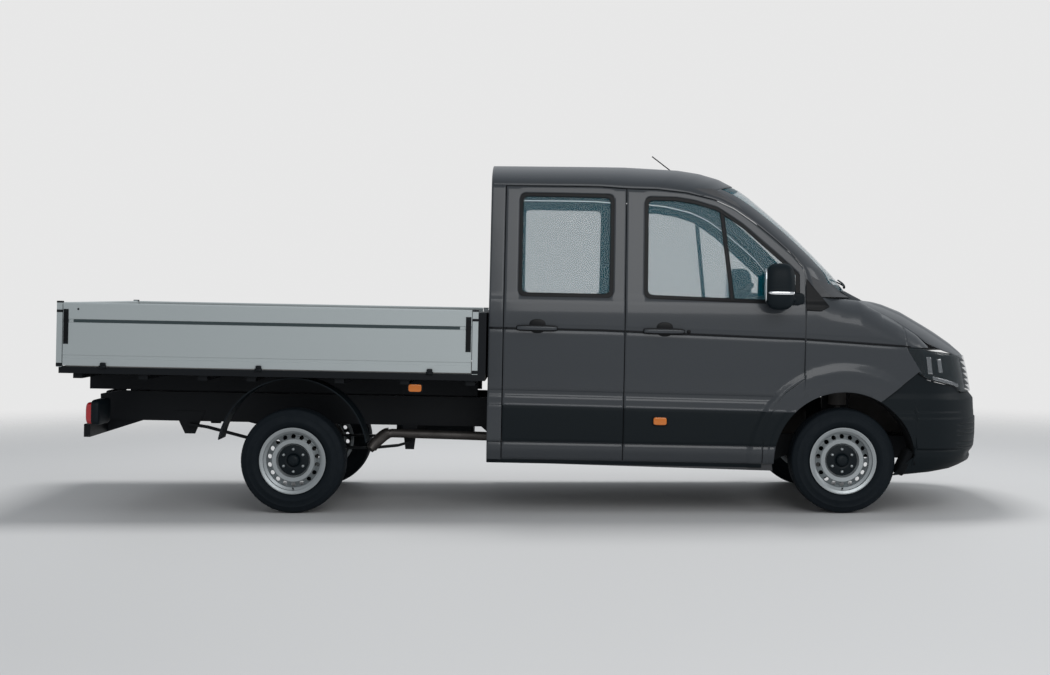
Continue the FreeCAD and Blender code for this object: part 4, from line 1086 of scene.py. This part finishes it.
for corner_name, x, side in WHEELS:
    body = f"{corner_name}_wheel"
    place = (x, side * TRACK_HALF, AXLE_Z)
    finish_nodes(rim_paint, f"{corner_name}_rim")
    turned(f"{corner_name}_hub_disc", HUB_DISC, place, side, hub_black, body, closed=True)
    turned(f"{corner_name}_hub_cap", HUB_CAP, place, side, hub_black, body)
    turned(f"{corner_name}_rim_ring", RIM_RING, place, side, rim_paint, body, closed=True)
    for index in range(NUTS):
        angle = index * 2 * math.pi / NUTS
        at = (x + NUT_CIRCLE * math.sin(angle), place[1], AXLE_Z + NUT_CIRCLE * math.cos(angle))
        turned(f"{corner_name}_nut_{index}", NUT, at, side, rim_paint, body, steps=6)
    valve = [(x, side * (TRACK_HALF + out), AXLE_Z - radius) for radius, out in VALVE]
    bent_tube(f"{corner_name}_valve", valve, (5, 5, 3.5), dark_rubber, body, 8, level=True)

# ---------------------------------------------------------------- engine, gearbox and axle
# Rough castings: the plain engine block with its gearbox behind it, the steering knuckles and the axle.
cast_iron = plastic("cast_iron", (0.05, 0.047, 0.045), 0.6, 0.6, "frame_black")
rounded_block("gearbox", (1860, 0, 540), (110, 130, 110), cast_iron, "root", power=5)
finish_nodes(cast_iron, "rear_axle", "front_left_knuckle", "front_right_knuckle", "engine_block")

# ---------------------------------------------------------------- bed boards
# Extruded aluminium boards, satin anodised, that fold down on black hinges; each has a pressed groove,
# a thin foot line and black latch handles at its ends.  A dark strip in the back of each groove is painted
# shade.
anodised = new_material("anodised", "bed_aluminium", Base_Color=(0.42, 0.46, 0.465, 1), Metallic=0.35)
drawn = texture(anodised, stretch=(1.2, 1.2, 260.0), Scale=2.0).outputs["Fac"]
gloss(anodised, drawn, 0.42, 0.56)
relief(anodised, drawn, 0.12, 0.0005)
BOARD = ((0, 885), (0, 931), (-3, 934), (-3, 952), (0, 955), (0, 1166), (-6, 1169), (-6, 1187), (0, 1190),
         (0, 1288), (-3, 1295), (-9, 1298), (-17, 1298), (-22, 1295), (-25, 1288), (-25, 1190), (-21, 1187),
         (-21, 1169), (-25, 1166), (-25, 885))
TRAY_HALF = 1065.0
TRAY_REAR, TRAY_FRONT = -3101.0, -379.0
BOARD_REAR, BOARD_FRONT = -3059.0, -384.0
HINGES_X = (-2792, -1774, -655)
TAIL_HINGES_Y = (-700, 0, 700)
HINGE_OUT, HINGE_Z = 1078, 880
PRESSED = (1168, 1188)
LATCHES = ((BOARD_REAR + 3, -3023, 1026, 1254), (-423, BOARD_FRONT - 4, 1022, 1251))
hinge_black = plastic("hinge_black", (0.006, 0.008, 0.010), 0.42, 0.2, "bed_aluminium")
painted_groove_shade = plastic("groove_shade_strip", (0.045, 0.062, 0.066), 0.5, 0.1, "bed_aluminium")
for side, hand in SIDES:
    body = f"{hand}_dropside"
    board = profile_bar(f"{hand}_board", [(side * (TRAY_HALF + out), z) for out, z in BOARD], BOARD_REAR,
                        BOARD_FRONT, anodised, body)
    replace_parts(board, f"{hand}_dropside")
    # A dark strip in the back of the pressed groove: painted shade of the groove.
    profile_bar(f"{hand}_board_groove_shade", flat(*PRESSED, side * (TRAY_HALF - 6), side * (TRAY_HALF - 3.5)),
                -2991, -461, painted_groove_shade, body)
    for start, end, low_end, high_end in LATCHES:
        profile_bar(f"{hand}_latch_{int(start)}",
                    flat(low_end, high_end, side * (TRAY_HALF - 8), side * (TRAY_HALF + 3)), start, end,
                    hinge_black, body)
        profile_bar(f"{hand}_latch_grip_{int(start)}",
                    flat(low_end + 20, high_end - 20, side * (TRAY_HALF + 2), side * (TRAY_HALF + 7)),
                    start + 9, end - 9, seal, body)
    for index, x in enumerate(HINGES_X):
        pin = [(x + run, side * HINGE_OUT, HINGE_Z) for run in (-24, 0, 24)]
        bent_tube(f"{hand}_hinge_pin_{index}", pin, 9, hinge_black, body, 16)
blocks(("{}_board_stud", (-2960, TRAY_HALF, 1255), (7, 4, 7), hinge_black, "{}_dropside", 2))
for index, x in enumerate(HINGES_X):
    blocks((f"{{}}_hinge_leaf_{index}", (x, TRAY_HALF + 5, 893), (19, 8, 15), hinge_black, "{}_dropside", 5))
for x, z_top in ((TRAY_REAR + 18.5, 1303), (TRAY_FRONT + 18.5, 1294)):
    for z, tall in ((z_top - 2, 6), (z_top - 62, 9), (890, 12)):
        blocks((f"{{}}_post_cap_{int(x)}_{int(z)}", (x, TRAY_HALF - 17, z), (20, 20, tall), hinge_black,
                "root", 8))
tail = profile_bar("tail_board", [(TRAY_REAR + 12 - out, z) for out, z in BOARD], -1023, 1023, anodised,
                   "tailgate", "y")
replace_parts(tail, "tailgate")
# The tailgate's groove gets the same strip of painted shade.
profile_bar("tail_board_groove_shade", flat(*PRESSED, TRAY_REAR + 15.5, TRAY_REAR + 18), -950, 950, painted_groove_shade,
            "tailgate", "y")
for index, y in enumerate(TAIL_HINGES_Y):
    rounded_block(f"tail_hinge_leaf_{index}", (TRAY_REAR + 9, y, 900), (6, 29, 22), hinge_black, "tailgate",
                  power=5)
    pin = [(TRAY_REAR + 6, y + run, HINGE_Z) for run in (-30, 0, 30)]
    bent_tube(f"tail_hinge_pin_{index}", pin, 7, hinge_black, "tailgate", 16)
for side in (-1, 1):
    profile_bar(f"tail_latch_{side}", flat(1060, 1254, TRAY_REAR + 9, TRAY_REAR + 20), side * 1018,
                side * 982, hinge_black, "tailgate", "y")
finish_nodes(anodised, "corner_posts")

# ---------------------------------------------------------------- bed floor and headboard
# A dark resin-coated plywood deck with a pressed mesh pattern, and a headboard with rolled ribs behind
# the cab, in chassis black that is painted shade of the narrow gap between cab and bed.
deck = new_material("coated_plywood", "bed_floor", Roughness=0.5)
grip = texture(deck, "Voronoi", Scale=190.0)
grip.feature = "DISTANCE_TO_EDGE"
relief(deck, grip.outputs["Distance"], 0.35, 0.001)
tones(deck, texture(deck, Scale=4.0, Detail=8.0).outputs["Fac"], (0.018, 0.015, 0.012),
      (0.050, 0.042, 0.034))
finish_nodes(deck, "bed_floor")
frame_black = plastic("chassis_paint_and_headboard_shade", (0.0055, 0.007, 0.009), 0.48, 0.5, "frame_black")
RAIL_FOOT, RAIL_HEAD = 834, 877
RIBS_Z = (960, 1060, 1160)
for side in (1, -1):
    profile_bar(f"floor_rail_{side}", flat(RAIL_FOOT, RAIL_HEAD, side * 1020, side * 1062), TRAY_REAR + 17,
                -292, frame_black, "root")
profile_bar("floor_rail_rear", flat(RAIL_FOOT, RAIL_HEAD, TRAY_REAR + 17, TRAY_REAR + 60), -1060, 1060,
            frame_black, "root", "y")
# The headboard's chassis black is painted shade of the gap between cab and bed.
finish_nodes(frame_black, "headboard", "chassis_frame", "front_subframe", "leaf_springs", "bed_subframe")
# Its ribs take the same black, which is painted shade.
for index, z in enumerate(RIBS_Z):
    rib = [(-346, z - 22), (-339, z - 30), (-339, z + 30), (-346, z + 22)]
    profile_bar(f"headboard_rib_{index}", rib, -990, 990, frame_black, "root", "y")
finish_nodes(black_plastic, "mudguards", "fuel_tank")
liner_felt = plastic("liner_felt", (0.004, 0.005, 0.006), 0.9, 0.8)
finish_nodes(liner_felt, "arch_liners")
for side, hand in SIDES:
    rounded_block(f"{hand}_arch_flap", (2490, side * 890, 345), (26, 92, 92), liner_felt, "root", power=6,
                  turn=(24, "Y"))

# ---------------------------------------------------------------- exhaust
# A dull steel pipe; a braided flexible length covers its bend before the rear wheel.
exhaust_steel = new_material("exhaust_steel", "exhaust_steel", Metallic=0.8, Roughness=0.5)
tones(exhaust_steel, texture(exhaust_steel, Scale=9.0, Detail=6.0).outputs["Fac"], (0.03, 0.027, 0.024),
      (0.13, 0.12, 0.115))
finish_nodes(exhaust_steel, "exhaust")
FOLDS = 26
run = np.linspace(0, 1, 80)
bend = np.stack([-960 - 110 * run, -540 - 62 * run ** 1.3, 440 - 95 * run ** 1.5], axis=-1)
bent_tube("exhaust_flex", bend, 36 + 4 * np.sin(run * FOLDS * 2 * math.pi), exhaust_steel, "root", 20)

# ---------------------------------------------------------------- rear lamps and plates
# A black box with a domed lens at each rear corner of the frame, and blank plates front and rear.
red_lens = new_material("red_lens", "rear_lens", Base_Color=(0.42, 0.008, 0.012, 1), Roughness=0.12,
                        Coat_Weight=0.7)
relief(red_lens, texture(red_lens, "Voronoi", Scale=75.0).outputs["Distance"], 0.6, 0.002)
plate_white = plastic("blank_plate", (0.62, 0.62, 0.60), 0.35, 0.05)
for side, hand in SIDES:
    lamp_box = rounded_block(f"{hand}_lamp_box", (-2868, side * 800, 570), (30, 166, 84), black_plastic,
                             "root", power=7)
    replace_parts(lamp_box, "rear_lamps")
for index, (y, material) in enumerate(((905, red_lens), (800, amber), (695, red_lens))):
    blocks((f"{{}}_rear_lens_{index}", (-2900, y, 566), (34, 52, 72), material, "root", 4))
PLATE = (3, 258, 55)
rounded_block("rear_plate_holder", (-2964, 0, 610), (8, 272, 66), black_plastic, "root", power=12)
rounded_block("rear_plate", (-2972, 0, 610), PLATE, plate_white, "root", power=14)
rounded_block("front_plate", (3092, 0, 505), PLATE, plate_white, "root", power=14)

# ---------------------------------------------------------------- inside the cab
# Hard dark dashboard and floor covering, a leather-grained steering wheel and cloth seats.
dash_plastic = plastic("dashboard_grain", (0.010, 0.011, 0.012), 0.6, 0.6)
finish_nodes(dash_plastic, "dashboard", "steering_wheel")
floor_mat = plastic("rubber_mat", (0.008, 0.008, 0.009), 0.75, 0.7)
finish_nodes(floor_mat, "cab_floor")
cloth = new_material("seat_cloth", "seat_fabric", Roughness=0.85, Sheen_Weight=0.35)
weft = texture(cloth, "Wave", Scale=140.0, Distortion=0.6).outputs["Fac"]
tones(cloth, weft, (0.010, 0.011, 0.013), (0.034, 0.037, 0.043))
relief(cloth, weft, 0.4, 0.0008)
SWELL_CAP = 0.014
CHANNEL = 9.0
FRAMES = 16


def swell(piece):
    """A cloth pass: the cushion fills under light pressure, and no point moves further than the cap."""
    before = np.array([vertex.co for vertex in piece.data.vertices])
    cloth_pass = piece.modifiers.new("swell", "CLOTH")
    cloth_pass.settings.use_pressure = True
    cloth_pass.settings.uniform_pressure_force = 4.0
    cloth_pass.settings.effector_weights.gravity = 0.0
    for number in range(1, FRAMES + 1):
        scene.frame_set(number)
    blown = piece.evaluated_get(bpy.context.evaluated_depsgraph_get())
    after = np.array([vertex.co for vertex in blown.data.vertices])
    move = after - before
    far = np.linalg.norm(move, axis=1)[:, None]
    after = before + move * np.minimum(1, SWELL_CAP / np.maximum(far, 1e-6))
    piece.modifiers.remove(cloth_pass)
    piece.data.vertices.foreach_set("co", after.reshape(-1))
    piece.data.update()
    scene.frame_set(1)


def cushion(name, centre, half, lean, channels):
    """A crowned cloth pad, filled in a cloth pass, with sewn channels along it afterwards."""
    pad = rounded_block(name, (0, 0, 0), half, cloth, "root", power=5, rows=34, columns_round=84, level=True)
    swell(pad)
    points = np.array([vertex.co for vertex in pad.data.vertices]) * 1000
    facing = np.sign(points[:, 2])
    for place in channels:
        points[:, 2] -= facing * 7 * np.exp(-((points[:, 1] - place) / CHANNEL) ** 2)
    points[:, 2] -= facing * 6 * np.exp(-((points[:, 0] - half[0] * 0.55) / CHANNEL) ** 2)
    points = points @ np.array(Matrix.Rotation(math.radians(lean), 3, "Y")).T + np.array(centre)
    pad.data.vertices.foreach_set("co", raked(points).reshape(-1))
    pad.data.update()
    return pad


SEAT_FOOT, SEAT_TOP = 418, 790
SEAT_ROWS = (("driver", 820, 450, 450, (-110, 110)), ("passenger", 820, -380, 860, (-270, 0, 270)),
             ("rear", 0, 0, 1560, (-520, -260, 260, 520)))
for name, x, middle, width, channels in SEAT_ROWS:
    seat_pad = cushion(f"{name}_cushion", (x + 220, middle, 838), (255, width / 2 - 8, 52), -3, channels)
    cushion(f"{name}_backrest", (x - 62, middle, 1125), (262, width / 2 - 8, 48), 106, channels)
    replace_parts(seat_pad, "rear_bench" if name == "rear" else "front_seats")
    front_of_base = 122 if name == "rear" else 20
    profile_bar(f"{name}_seat_base", flat(SEAT_FOOT, SEAT_TOP, x + front_of_base, x + 440),
                middle - width / 2 + 40, middle + width / 2 - 40, dash_plastic, "root", "y")
STALK = ((1490, 470, 1372), (1500, 540, 1372), (1500, 600, 1378))
GRAB_HANDLE = ((1500, 872, 1905), (1530, 850, 1885), (1600, 846, 1825), (1670, 850, 1762), (1700, 872, 1738))
bent_tube("column_stalk", STALK, 7, dash_plastic, "root", 8)
for side, hand in SIDES:
    bent_tube(f"{hand}_grab_handle", np.array(GRAB_HANDLE) * (1, side, 1), 12, dash_plastic, "root", 12)

low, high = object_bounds()
